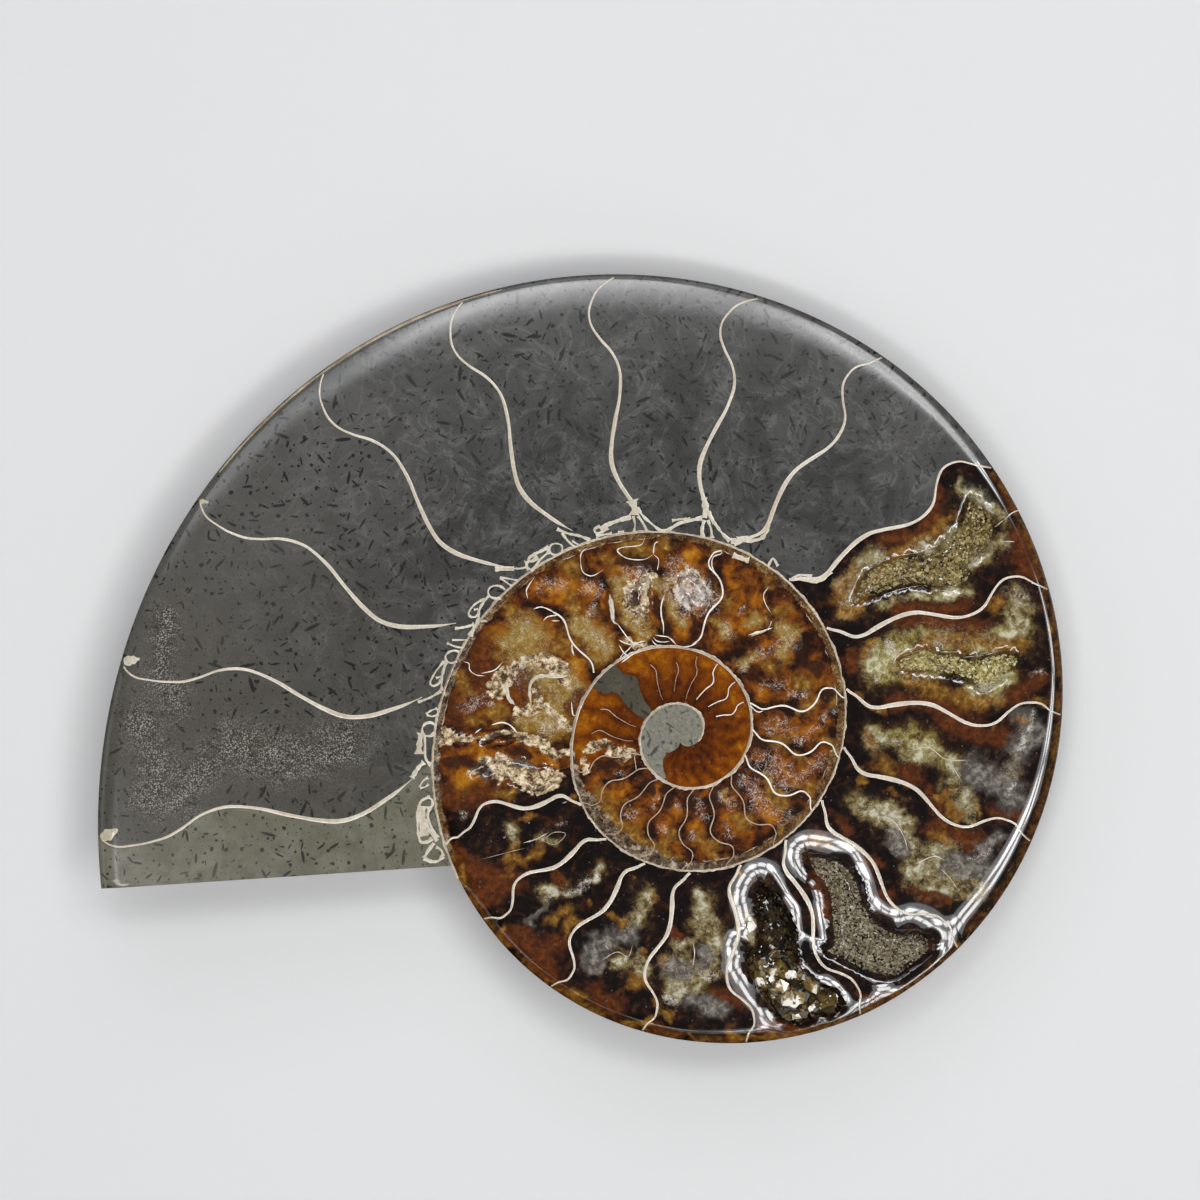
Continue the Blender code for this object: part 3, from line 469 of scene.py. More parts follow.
         1.4, -31.1), (.39, 2.7, -32, 4.8, -32.4), (.58, -1.7, -35.4, -.8, -35.4), (.29, -2.2, -34.8, -2,
         -35), (.17, -10.6, -30, -8.7, -29, -7.2, -29.6, -6.6, -28), (.24, -10.3, -28.1, -9.8, -28.7), (.34,
         -4.8, -21.7, -4.5, -22.4), (.34, -18.2, -21.4, -15.3, -21.3, -12.8, -20, -11.5, -18.5), (.34, -23,
         -12.2, -22.8, -12.9), (.22, -21.3, -14.4, -19.6, -13.9, -17.9, -13), (.15, -18.7, -14.1, -17.2, -13,
         -15.6, -13.2, -17, -14.6, -18.7, -14.1), (.29, -16.2, -11.9, -15.6, -11.7), (.12, -26.9, -16.6,
         -23.5, -15.7, -21.1, -15.1), (.34, -29.6, -10.5, -28.9, -10.5), (.89, -21.5, 9.9, -20.2, 8.6, -22,
         8.3), (.67, -18, 2.7, -16.6, 1.6, -18.4, .7), (.67, -15.5, 8.1, -14.8, 7.7), (.76, -28.9, 3.9, -27.3,
         5, -25.5, 4.8), (.4, -30.5, .7, -29.6, -.2), (.67, -18.6, 20.2, -16.2, 20.4), (.67, -12.6, 19.9,
         -11.9, 19.3), (.45, -11.9, 17.9, -11.7, 15.9), (.36, -21.5, 14.1, -21.1, 14.8), (.61, -12.8, 20,
         -11.9, 19.6, -11, 19.8), (.43, -11.9, 17.5, -12.2, 16.1, -12.6, 15.3), (.71, -12.4, 13.4, -11.2, 13,
         -10.5, 12.1), (.71, -8, 21.6, -6.3, 22.1, -4.9, 22), (.54, -6.7, 15.9, -5.3, 14.6), (.71, -2.2, 20.5,
         -1.2, 22, -.3, 23), (.79, -.3, 21.1, .8, 21.4, 2.6, 20.3, 3.3, 18.9), (.79, -.3, 19.6, .8, 17.5, .4,
         16.4), (.54, 1.9, 17.5, 2.9, 18.2), (.36, -2.1, 23.2, -.6, 23.2), (.61, 5.8, 15, 6.7, 13.9), (.36,
         7.6, 16.4, 8.1, 16.8), (.58, 8.1, 9.1, 9.6, 10.1, 10.6, 11.1), (.83, 12.5, 11.8, 13.7, 12.8, 14.7,
         12.1), (.73, 11.3, 6.5, 13.3, 6.7), (.58, 14.7, 5.5, 16.2, 5.7), (.83, 11.8, 1.1, 13.3, 1.8, 14.5,
         .6), (.49, 15.4, -.8, 16.4, -.4, 18.6, 1.6, 19.6, 2.6, 20.3, 3.5), (.97, 10.6, -3.3, 12, -3, 13.5,
         -5.5, 14.5, -6.5), (.63, 16.2, -5.5, 17.2, -4.3, 18.6, -3.3), (.97, 8.6, -6.2, 9.8, -7.7, 10.8,
         -9.6), (.73, 12.8, -10.1, 14.5, -10.1, 13.5, -11.6), (.63, 10.7, -3.1, 12.1, -2.9, 12.5, -4.2), (.71,
         11.7, -4.8, 13, -6.3, 14, -6), (.71, 8.4, -6.3, 9.6, -6.9, 10.2, -8.6), (.71, 9.8, -9.6, 10.9, -9.8),
        (.63, 5.4, -8.3, 6.5, -9.6), (.59, 5.8, -12.5, 6.5, -13.2), (.54, 2.1, -9, 3.1, -10.7), (.46, 1.2,
         -13.4, 1.7, -13.2), (.42, -.9, -8.8, -.6, -9.4), (.54, -2.9, -12.5, -2.3, -12.7), (.42, -3.6, -9.4,
         -3.2, -8.6), (.5, -6.9, -10.4, -6.3, -10.9), (.42, -8.6, -5, -8, -5.2), (.21, -6.4, -2.7, -6.1,
         -4.8),
    ],
    "tan": [
        (.6, -7, 20, -5.9, 20.7, -4.9, 20.4), (.5, -6.9, 19.8, -7.2, 18.6, -6.6, 17.2), (.55, -5.1, 19.5,
         -5.3, 18, -5, 16.8), (.4, -.6, 20.8, .3, 21.6, 1.6, 21.5, 2.9, 20.7, 3.4, 19.4), (.4, -.9, 19.9, -.2,
         18.6, .9, 17.3), (.35, -23.2, 8.6, -20.6, 10.9, -18, 9.6, -16, 7), (.4, -20, 5.6, -17.2, 2.6, -14.6,
         1), (.58, -19.7, 9.7, -18, 10.6, -16.2, 9.2), (.89, -25.1, 6.1, -24.4, 7, -23.8, 7.4), (.22, -23.5,
         7.4, -23.3, 5.2, -22.4, 4.1), (.49, -22.4, 3.4, -20.6, 3.4, -20.2, 3.9), (.18, -20.2, 3.9, -20.4,
         6.5, -19.3, 7.9, -16.2, 7.9, -15.3, 8.1), (.76, -21.3, -.2, -19.5, -.6, -17.5, -2.4), (.45, -17.5,
         -2.6, -15.1, -2.4), (.4, -32.2, 1, -30.9, -.2, -28.7, -.6, -27.1, -.4), (.54, -32.9, -.2, -32.2,
         -.4), (.36, -27.1, -.4, -24.4, .2, -22, -.2), (.76, -26.4, -3.7, -24.2, -3.3, -22.9, -4.6, -20.6, -6,
         -17.5, -5.3), (.58, -28, -4.8, -26.4, -4, -24.4, -5.3), (.89, -22, -5.5, -19.3, -6.9, -17.1, -6),
        (.39, -7.1, 18.9, -6.9, 20.3, -5.3, 20.9, -4, 21.6), (.36, -7.6, 18.2, -6.3, 16.8, -5.3, 15.9, -4.7,
         17.5, -5.8, 19.3), (.25, -4.6, 21.4, -4.7, 19.6, -4.6, 17.8), (.25, -9.7, 18.9, -9.4, 17.1, -9.2,
         15.3, -8.7, 15), (.36, -7.1, 12.7, -5.6, 11.8, -4.2, 12.1), (.29, 7.2, 24.1, 8.7, 23.7), (.63, -12,
         -1.4, -10.9, -1.2, -9.4, -2.3, -7.1, -2.3), (.42, -13, -2.9, -12.6, -4.2),
    ],
    "dark": [
        (.5, -6.3, 18.9, -6, 17.7), (1.2, 38.8, 34.2, 41.2, 33.4, 43, 31.4), (.54, -26.9, -.8, -25.5, -.4,
         -24.4, -.2), (.4, -24, -.6, -22.6, -.8), (.67, -23.5, -1.9, -22, -2.4, -20.6, -3.1), (.76, -31.4,
         -3.7, -28.5, -3.3, -25.1, -6), (.22, -27.1, 1, -25.5, .7, -23.5, .7), (.46, -6.3, 18.7, -6.3, 17.5),
        (.71, -3.1, 17.8, -3.1, 15.7), (.71, -2.4, 14.3, -2.1, 13.6), (.61, 1.5, 16.1, 1.2, 13.9), (.89, -3.8,
         12.8, -2.4, 12.5), (1.07, 4, 20.7, 4.6, 19.3), (1.07, -8, 23.7, -4.9, 23), (.73, 9.4, 4.5, 10.8, 4),
        (.97, 15.7, 11.8, 16.9, 9.9, 18.1, 8.9), (.83, 9.6, -.8, 11.3, -1.1), (.63, 15, -8.2, 16.4, -8.4),
        (.63, 18.6, 5.5, 19.6, 5.2), (.73, 7.4, -5.5, 8.6, -5), (.84, -4.6, -6, -4.2, -7.3), (.63, -2.1, -7.7,
         -1.7, -9), (.71, 1.2, -8.1, 1.4, -9.4), (.84, 4.6, -7.5, 4.4, -9.4), (.84, 7.1, -5.2, 7.9, -6.9),
        (.63, -11.1, -3.7, -8, -4),
    ],
    "grit": [
        (1.47, -69.28, 15.48, -69.95, 7.44, -67.54, 4.09), (2.01, -72.63, 2.08, -69.95, -4.62, -71.29, -8.64),
        (2.55, -59.9, -1.27, -52.53, -3.28, -45.16, -.87), (1.74, -63.25, -3.28, -67.27, -8.64),
    ],
}
thinVein = 0.26  # narrower white and tan strokes are laid as raised veins, not as stains
stainLook = {
    "bends": [(0.45, 5.0, 3, 8), (0.2, 1.7, 5, 2)],  # wandering edges: reach, size, seeds in x and y
    "fade": 0.7,                                     # fall of the bell at one half width
    "faint": 0.8, "vugReach": 3.4,                   # white in the second whorl, but not in its vug
}


def stainMask(x, y, turn, strokes, sharpness):
    # how strongly a set of strokes colours each place: a bell across each stroke, its edge wandering
    mask = np.zeros(x.shape)
    bentX, bentY = x, y
    for reach, size, seedX, seedY in stainLook["bends"]:
        bentX = bentX + reach * wander(x, y, size, seedX)
        bentY = bentY + reach * wander(x, y, size, seedY)
    for half, *flat in strokes:
        points = np.reshape(flat, (-1, 2))
        own = turnOf(*points.mean(0))
        reach = 3.0 * half + 1.0
        low, high = points.min(0) - reach, points.max(0) + reach
        near = (x > low[0]) & (x < high[0]) & (y > low[1]) & (y < high[1]) & (np.abs(turn - own) < 180)
        if near.any():
            distance = segmentDistance(bentX[near], bentY[near], points)
            bell = np.exp(-(distance / half)**sharpness * stainLook["fade"])
            mask[near] = 1 - (1 - mask[near]) * (1 - bell)
    return mask


# Grey mud: in the chambers past one partition, between two others, and in the core.
mudPlaces = {"reach": 3.0, "patch": (6, 7), "patchUntil": -400.0, "coreUntil": -700.0, "coreEnd": -838.0,
             "coreBend": (12.0, 6.0), "coreSlope": 0.1}


def mudEdge(x, y, turn, share, phase, degrees):
    # distance in millimetres past the edge of the grey mud, positive inside it
    places = mudPlaces
    width = np.radians(degrees) * np.hypot(x, y)
    first, last = places["patch"]
    edge = np.where(turn < places["patchUntil"], np.minimum(phase - first, last - phase) * width,
                    (phase - partitions["mudAfter"]) * width)
    bend, waves = places["coreBend"]
    core = (places["coreEnd"] + bend * np.cos(waves * share) - turn) * places["coreSlope"]
    return np.clip(np.where(turn < places["coreUntil"], core, edge), -places["reach"], places["reach"])


def gridFaces(first, columns, rows):
    # two triangles for each cell of a grid of vertices
    ids = first + np.arange(columns * rows).reshape(columns, rows)
    a, b, c, d = ids[:-1, :-1].ravel(), ids[1:, :-1].ravel(), ids[1:, 1:].ravel(), ids[:-1, 1:].ravel()
    return np.concatenate([np.stack([a, c, b], -1), np.stack([a, d, c], -1)])


def zipFaces(left, right, leftShare, rightShare, flip=False):
    # triangles between two chains of vertices with different counts: each step goes along the chain
    # whose next vertex comes first
    shares = np.concatenate([leftShare[1:], rightShare[1:] + 1e-9])
    isLeft = np.arange(len(shares)) < len(left) - 1
    isLeft = isLeft[np.argsort(shares, kind="stable")]
    i, j = np.cumsum(isLeft), np.cumsum(~isLeft)
    faces = np.where(isLeft[:, None],
                     np.stack([left[i - isLeft], right[j], left[i]], -1),
                     np.stack([left[i], right[j - ~isLeft], right[j]], -1))
    return faces[:, ::-1] if flip else faces


stoneLook = {
    "columns": 560, "sawColumns": 41,             # steps round the half, and along the saw cut
    "rows": [66, 34, 17, 8],                      # steps across each whorl of the cut face
    "rimShare": 0.93, "rimRows": 9,               # finer steps at the rim of the last whorl
    "flankRows": 50, "flankEase": (0.32, 1.9),    # steps over the outside, closer together at the rim
    "sawRows": 14,
}


def buildStone():
    # one closed skin: four rings of the cut face, one for each whorl, whose grid lines follow the
    # walls; the rim and the saw cut; and the outside of the shell as one polar grid
    look = stoneLook
    notch, saw = spiral["notchTurn"], spiral["sawTurn"]
    directions = np.concatenate([np.linspace(notch, saw, look["columns"]),
                                 np.linspace(saw, notch + 360, look["sawColumns"])[1:]])
    edge = outlineRadius(directions)
    places, turns, faces, slots = [], [], [], []

    def addPatch(xyz, turn):
        first = sum(len(patch) for patch in places)
        places.append(xyz.reshape(-1, 3))
        turns.append(np.broadcast_to(turn, xyz.shape[:-1]).ravel())
        return first + np.arange(xyz[..., 0].size).reshape(xyz.shape[:-1])

    def addFaces(triangles, slot):
        faces.append(triangles)
        slots.append(np.full(len(triangles), slot))

    def onGrid(directions, radius, heightAt):
        # a patch of vertices along directions and radii, at the height that a function gives
        xy = polar(np.broadcast_to(directions[:, None], radius.shape), radius)
        return np.concatenate([xy, heightAt(xy[..., 0], xy[..., 1])[..., None]], -1)

    # cut face
    shares = [np.linspace(0, 1, n + 1) for n in look["rows"]]
    coarse = look["rows"][0] - look["rimRows"]
    shares[0] = np.concatenate([np.linspace(0, look["rimShare"], coarse + 1),
                                np.linspace(look["rimShare"], 1, look["rimRows"] + 1)[1:]])
    bands = []
    for whorl, rows in enumerate(shares):
        turn = directions[:, None] - 360.0 * whorl
        inner = wallRadius(turn - 360.0) * (whorl < 3)
        outer = edge[:, None] if whorl == 0 else wallRadius(turn)
        bands.append(addPatch(onGrid(directions, inner + (outer - inner) * rows[None], faceHeight), turn))
        addFaces(gridFaces(bands[-1][0, 0], *bands[-1].shape), 0)
    for outer, inner, a, b in zip(bands[:-1], bands[1:], shares[:-1], shares[1:]):
        addFaces(zipFaces(inner[-1], outer[0], b, a, True), 0)

    # outside of the shell
    steps = np.linspace(0, 1, look["flankRows"] + 1)
    even, power = look["flankEase"]
    inward = 1 - (even * steps + (1 - even) * steps**power)
    inward[-1] = 0
    thin = np.r_[0:look["columns"] - 1:2, look["columns"] - 1:len(directions)]
    outside = onGrid(directions[thin], edge[thin][:, None] * inward[None], lambda x, y: -flankDepth(x, y))
    rimTop = np.concatenate([polar(directions, edge), faceHeight(*polar(directions, edge).T)[:, None]], -1)
    onWall = directions[thin] <= saw
    outside[onWall, 0, 2] = rimTop[thin][onWall, 2] - 0.4 * rim["edge"]
    ids = addPatch(outside, flankWhorl(outside[..., 0], outside[..., 1], np.ones(outside.shape[:-1])))
    addFaces(gridFaces(ids[0, 0], *ids.shape), 1)

    # rim: from the cut face down to the outside, both chains in steps of their own
    last = look["columns"] - 1
    lastThin = int(np.searchsorted(thin, last))
    top = addPatch(rimTop[:last + 1], directions[:last + 1])
    low = addPatch(outside[:lastThin + 1, 0], directions[thin][:lastThin + 1])
    addFaces(zipFaces(top, low, directions[:last + 1], directions[thin][:lastThin + 1]), 1)

    # saw cut: a tall wall of its own rows, whose corner closes on the rim's last step
    across = np.linspace(0, 1, look["sawRows"] + 1)
    sawTop, sawLow = rimTop[last:], outside[lastThin:, 0]
    wall = sawTop[:, None] + (sawLow - sawTop)[:, None] * across[None, :, None]
    ids = addPatch(wall, directions[last:, None])
    addFaces(gridFaces(ids[0, 0], *ids.shape), 2)
    addFaces(zipFaces(ids[0], np.array([top[-1], low[-1]]), across, np.array([0.0, 1.0])), 2)
    return [np.concatenate(parts) for parts in (places, turns, faces, slots)]


def weld(points, faces):
    # vertices that share a place become one; faces that collapse are dropped
    keys = np.round(points * 2e4).astype(np.int64)
    _, firsts, labels = np.unique(keys, axis=0, return_index=True, return_inverse=True)
    welded = labels.ravel()[faces]
    solid = (welded != np.roll(welded, 1, axis=1)).all(1)
    return points[firsts], welded[solid], solid


def makePiece(name, points, faces, materials, slots=None, cornerData=None, sharpAngle=40.0):
    # one mesh object in the frame's metres from face millimetres
    mesh = bpy.data.meshes.new(name)
    mesh.vertices.add(len(points))
    mesh.vertices.foreach_set("co", posed(points).astype(np.float32).ravel())
    mesh.loops.add(faces.size)
    mesh.loops.foreach_set("vertex_index", faces.astype(np.int32).ravel())
    mesh.polygons.add(len(faces))
    mesh.polygons.foreach_set("loop_start", np.arange(0, faces.size, faces.shape[1], dtype=np.int32))
    mesh.polygons.foreach_set("use_smooth", np.ones(len(faces), bool))
    for material in materials:
        mesh.materials.append(material)
    if slots is not None:
        mesh.polygons.foreach_set("material_index", slots.astype(np.int32))
    for key, values in (cornerData or {}).items():
        kind, field = ("FLOAT_VECTOR", "vector") if values.ndim == 2 else ("FLOAT", "value")
        layer = mesh.attributes.new(key, kind, "CORNER")
        layer.data.foreach_set(field, values.astype(np.float32).ravel())
    mesh.update(calc_edges=True)
    mesh.validate()
    mesh.set_sharp_from_angle(angle=math.radians(sharpAngle))
    piece = bpy.data.objects.new(name, mesh)
    scene.collection.objects.link(piece)
    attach(piece, "root")
    return piece


class Wave:
    # a value or colour that changes over a surface; sums, products and the calls below add its nodes
    def __init__(self, recipe, socket):
        self.recipe, self.socket = recipe, socket

    def __add__(self, other):
        return self.recipe.math("ADD", self, other)

    def __radd__(self, other):
        return self.recipe.math("ADD", other, self)

    def __sub__(self, other):
        return self.recipe.math("SUBTRACT", self, other)

    def __rsub__(self, other):
        return self.recipe.math("SUBTRACT", other, self)

    def __mul__(self, other):
        return self.recipe.math("MULTIPLY", self, other)

    def __truediv__(self, other):
        return self.recipe.math("DIVIDE", self, other)

    def most(self, other):
        return self.recipe.math("MAXIMUM", self, other)

    def above(self, level):
        return self.recipe.math("GREATER_THAN", self, level)

    def offMiddle(self):
        # distance of a noise from its middle value, which is 0 along thin winding lines
        return self.recipe.math("ABSOLUTE", self - 0.5)

    def to(self, low, high, outLow=0.0, outHigh=1.0, smooth=False):
        # straight or smooth change as the value goes from low to high, level beyond both
        return self.recipe.node("ShaderNodeMapRange", {0: self, 1: low, 2: high, 3: outLow, 4: outHigh},
                                interpolation_type="SMOOTHSTEP" if smooth else "LINEAR")

    def swing(self, reach):
        # a noise as a swing to both sides of 0
        return self.to(0.25, 0.75, -reach, reach)

    def parts(self):
        return self.recipe.node("ShaderNodeSeparateXYZ", {0: self}, (0, 1, 2))

    def colours(self, stops):
        # the value read along a row of colours
        made = self.recipe.node("ShaderNodeValToRGB", {0: self})
        elements = made.socket.node.color_ramp.elements
        while len(elements) < len(stops):
            elements.new(0.5)
        for element, (place, colour) in zip(elements, stops):
            element.position, element.color = place, (*colour, 1.0)
        return made


class Recipe:
    # one material, its nodes built from short calls that take numbers and waves alike
    def __init__(self, name):
        self.material = bpy.data.materials.new(name)
        self.material.use_nodes = True
        self.tree = self.material.node_tree
        self.tree.nodes.clear()

    def node(self, kind, inputs=(), outputs=0, **settings):
        made = self.tree.nodes.new(kind)
        for key, value in settings.items():
            setattr(made, key, value)
        for key, value in dict(inputs).items():
            socket = made.inputs[key]
            if isinstance(value, Wave):
                self.tree.links.new(value.socket, socket)
            else:
                socket.default_value = (*value, 1.0) if socket.type == "RGBA" else value
        if isinstance(outputs, tuple):
            return [Wave(self, made.outputs[key]) for key in outputs]
        return None if outputs is None else Wave(self, made.outputs[outputs])

    def attribute(self, name, output="Vector"):
        return self.node("ShaderNodeAttribute", (), output, attribute_name=name)

    def math(self, operation, a, b=0.0, c=0.0):
        return self.node("ShaderNodeMath", {0: a, 1: b, 2: c}, operation=operation)

    def vector(self, operation, a, b=(0.0, 0.0, 0.0)):
        output = "Value" if operation in ("LENGTH", "DISTANCE") else 0
        return self.node("ShaderNodeVectorMath", {0: a, 1: b}, output, operation=operation)

    def combined(self, x, y, z=0.0):
        return self.node("ShaderNodeCombineXYZ", {0: x, 1: y, 2: z})

    def noise(self, vector, scale, detail, roughness, distortion=0.0):
        return self.node("ShaderNodeTexNoise", {"Vector": vector, "Scale": scale, "Detail": detail,
                                                "Roughness": roughness, "Distortion": distortion})

    def cells(self, vector, scale, dimensions="2D"):
        # distance to the nearest cell's heart, the cell's own colour, and the heart's place
        return self.node("ShaderNodeTexVoronoi", {"Vector": vector, "Scale": scale},
                         ("Distance", "Color", "Position"), voronoi_dimensions=dimensions)

    def mix(self, share, a, b):
        return self.node("ShaderNodeMix", {0: share, 6: a, 7: b}, 2, data_type="RGBA")

    def bump(self, height, strength, distance):
        return self.node("ShaderNodeBump", {"Height": height, "Strength": strength, "Distance": distance})

    def finish(self, colour, roughness, normal=None, **values):
        inputs = {key.replace("_", " "): value for key, value in values.items()}
        inputs.update({"Base Color": colour, "Roughness": roughness})
        if normal is not None:
            inputs["Normal"] = normal
        shader = self.node("ShaderNodeBsdfPrincipled", inputs)
        self.node("ShaderNodeOutputMaterial", {"Surface": shader}, None)
        return self.material


# Colours are plain linear values from 0 to 1. A wave is a noise's scale per millimetre, detail,
# roughness and distortion.
mudLook = {
    "base": (.0188, .0184, .0176), "swirl": (.057, .0556, .0532), "wisp": (.115, .113, .108),
    # one colour here is a painted highlight: the pale sheen laid over the mud near the top rim
    "warm": (.047, .041, .029), "dust": (.085, .085, .08), "paintedTopSheen": (.115, .113, .106),
    "olive": (.086, .081, .057), "oliveLight": (.132, .126, .095), "oliveDark": (.07, .062, .042),
    "pellet": (.006, .006, .005), "pit": (.026, .023, .016), "grit": (.25, .242, .215),
    "core": (.11, .106, .083), "coreLight": (.21, .202, .166),
    "patch": (.040, .034, .023), "patchLight": (.068, .060, .044),
    "swirlWave": (.12, 6, .64, 1.7), "wispWave": (.15, 5, .6, 1.3), "slowWave": (.045, 2, .5),
    "blotchWave": (.5, 5, .65), "coreWave": (1.8, 5, .7), "fineWave": (5, 3, .7), "flowWave": (.05, 1, .5),
    # pellets: cells per millimetre, length, thickness, chance, shift of the pattern, spread of turn
    "rods": (.36, .85, .18, .5, 0, 1.2), "drops": (.6, .24, .2, .6, 7, 2.4),
    "needles": (.5, .55, .14, .4, 11, 1.8), "dots": (1.1, .12, .10, .45, 3, 2.4),
    "grains": [(3.2, .38, 1), (5, .42, .85)],   # cells per millimetre, share left out, strength
    "oliveFrom": 46.0,                          # chamber past which the mud is olive
}


def mudColour(r, place, whorl, phase, grit):
    # grey mud: pale swirls and wisps, straight turned pellets, round specks, a gritty scatter, and a painted
    # highlight that lightens it toward the top rim
    look = mudLook
    across, along, _ = place.parts()
    swirl, slow, fine, blotch = (r.noise(place, *look[key + "Wave"])
                                 for key in ("swirl", "slow", "fine", "blotch"))
    wisp = r.noise(place, *look["wispWave"]).offMiddle()
    colour = r.mix(swirl.to(.40, .66), look["base"], look["swirl"])
    colour = r.mix(wisp.to(.035, 0) * swirl.to(.4, .6, .15, .65), colour, look["wisp"])
    lowLeft = across * -.022 + along * -.012
    colour = r.mix(lowLeft.to(.25, 1.25, 0, .75), colour, look["warm"])
    colour = r.mix(fine.to(.3, .75, 0, .3), colour, look["dust"])
    # painted highlight: the mud is lightened toward the outer rim at the top, standing in for the polish's
    # sheen there
    paintedTopSheen = r.vector("LENGTH", place).to(42, 60, 0, .24) * along.to(2, 24, .3, 1)
    colour = r.mix(paintedTopSheen, colour, look["paintedTopSheen"])
    olive = r.mix(swirl.to(.35, .65), look["olive"], look["oliveLight"])
    olive = r.mix(blotch.to(.5, .72, 0, .7), olive, look["oliveDark"])
    colour = r.mix(phase.to(look["oliveFrom"] - .02, look["oliveFrom"] + .02), colour, olive)

    def pellets(scale, length, thick, chance, shift, spread):
        # one turned ellipse in some of the cells, lying along the flow of the mud there
        moved = r.vector("ADD", place, (shift, 2.3 * shift, 0))
        distance, tint, heart = r.cells(moved, scale)
        turnPick, chancePick, sizePick = tint.parts()
        turn = r.noise(heart, *look["flowWave"]) * 14 + turnPick * spread
        spun = r.node("ShaderNodeVectorRotate", {"Vector": r.vector("SUBTRACT", moved, heart), "Angle": turn},
                      rotation_type="Z_AXIS")
        sized = r.node("ShaderNodeMapping", {"Vector": spun, "Scale": (1 / length, 1 / thick, 0)})
        reach = r.vector("LENGTH", sized) * sizePick.to(0, 1, .7, 1.7) + fine.to(.3, .7, -.2, .2)
        return reach.to(1.15, .85) * r.math("LESS_THAN", chancePick, chance)

    rods, drops, needles, dots = (pellets(*look[key]) for key in ("rods", "drops", "needles", "dots"))
    spots = rods.most(drops).most(needles).most(dots * .8) * slow.to(.35, .6, .55, 1)
    colour = r.mix(spots * .92, colour, look["pellet"])
    colour = r.mix(grit.to(.1, .9, 0, .6), colour, look["pit"])
    for scale, leftOut, strength in look["grains"]:
        distance, tint, heart = r.cells(place, scale)
        amount = tint.parts()[0].above(leftOut) * distance.to(.40, .26) * grit.to(0, 1, .02, strength)
        colour = r.mix(amount * blotch.to(.38, .6, .25, 1), colour, look["grit"])
    core = r.mix(r.noise(place, *look["coreWave"]).to(.35, .7), look["core"], look["coreLight"])
    patch = r.mix(blotch.to(.35, .65), look["patch"], look["patchLight"])
    core = r.mix(spots * .75, r.mix(phase.to(2, 2.5), core, patch), look["pellet"])
    return r.mix(whorl.to(1.4, 1.6), colour, core)


def mudMaterial():
    # polished grey mud, softer in its shine than the crystal
    r = Recipe("polished_mud")
    place = r.attribute("facePlace")
    dark, mud, grit = r.attribute("stainDark").parts()
    phase, width, whorl = r.attribute("chamber").parts()
    fine = r.noise(place, 3, 3, .6)
    return r.finish(mudColour(r, place, whorl, phase, grit), fine.to(.3, .7, .4, .55),
                    r.bump(fine, .06, .0002), Coat_Weight=.8, Coat_Roughness=.15, Coat_IOR=1.5,
                    Specular_IOR_Level=0)


crystalLook = {
    # rows of colours from the darkest to the palest: the three whorls, then each kind of stain
    "lastRamp": [(0, (.004, .0022, .0018)), (.2, (.010, .005, .0035)), (.36, (.030, .017, .007)),
                 (.52, (.080, .054, .018)), (.68, (.150, .116, .046)), (.84, (.215, .188, .105)),
                 (1, (.38, .355, .27))],
    "secondRamp": [(0, (.012, .004, .0020)), (.22, (.045, .012, .003)), (.42, (.120, .034, .004)),
                   (.6, (.215, .068, .004)), (.76, (.30, .118, .006)), (.9, (.34, .175, .018)),
                   (1, (.40, .27, .06))],
    "thirdRamp": [(0, (.032, .006, .0005)), (.35, (.092, .020, .0006)), (.6, (.162, .041, .0006)),
                  (.8, (.25, .088, .002)), (1, (.42, .19, .010))],
    "glowRamp": [(.15, (.160, .062, .004)), (.42, (.190, .098, .009)), (.68, (.235, .162, .045)),
                 (1, (.56, .50, .33))],
    "yellowRamp": [(.3, (.035, .016, .004)), (.5, (.105, .072, .010)), (.7, (.185, .150, .030)),
                   (.88, (.27, .245, .10)), (1, (.46, .43, .24))],
    "rustRamp": [(0, (.014, .005, .003)), (.5, (.055, .015, .0045)), (1, (.14, .038, .008))],
    "amberRamp": [(0, (.030, .010, .003)), (.35, (.085, .032, .006)), (.65, (.165, .078, .012)),
                  (.85, (.28, .165, .032)), (1, (.5, .38, .15))],
    "greyRamp": [(0, (.012, .009, .008)), (.5, (.072, .063, .052)), (1, (.28, .26, .225))],
    "tanRamp": [(0, (.035, .022, .012)), (.3, (.17, .11, .055)), (.6, (.42, .32, .19)),
                (1, (.66, .57, .42))],
    "bandRamp": [(0, (.025, .011, .006)), (.4, (.085, .042, .016)), (.7, (.20, .125, .045)),
                 (1, (.46, .37, .23))],
    "hazeRamp": [(.3, (.040, .024, .007)), (.7, (.25, .20, .10))],
    "hazeDark": (.15, .13, .115), "hazeLight": (.44, .42, .38), "edge": (.09, .036, .013),
    "white": (.60, .57, .52), "whiteInside": (.55, .525, .50),
    "dark": (.006, .004, .003), "darkInside": (.022, .008, .004),
    "broadWave": (.33, 5, .57, .5), "otherWave": (.42, 5, .6, .8), "middleWave": (1.15, 5, .60, .4),
    "fineWave": (3.6, 4, .68), "barWave": (1, 3, .6), "veinWave": (.85, 4, .6, 1.2),
    "crestWave": (1.5, 5, .75, 1), "netWave": (.75, 5, .66, .8),
    "otherShift": (31, 17, 5),                   # moves the second set of noises off the first
    "stains": {"rust": (.9, .1, .8), "grey": (.9, .2, .8), "amber": (.95, .2, 1.05)},  # amount, levels
    "yellowHollow": (35, 8, 0), "whiteVug": (1.3, 19.4, 0),
}


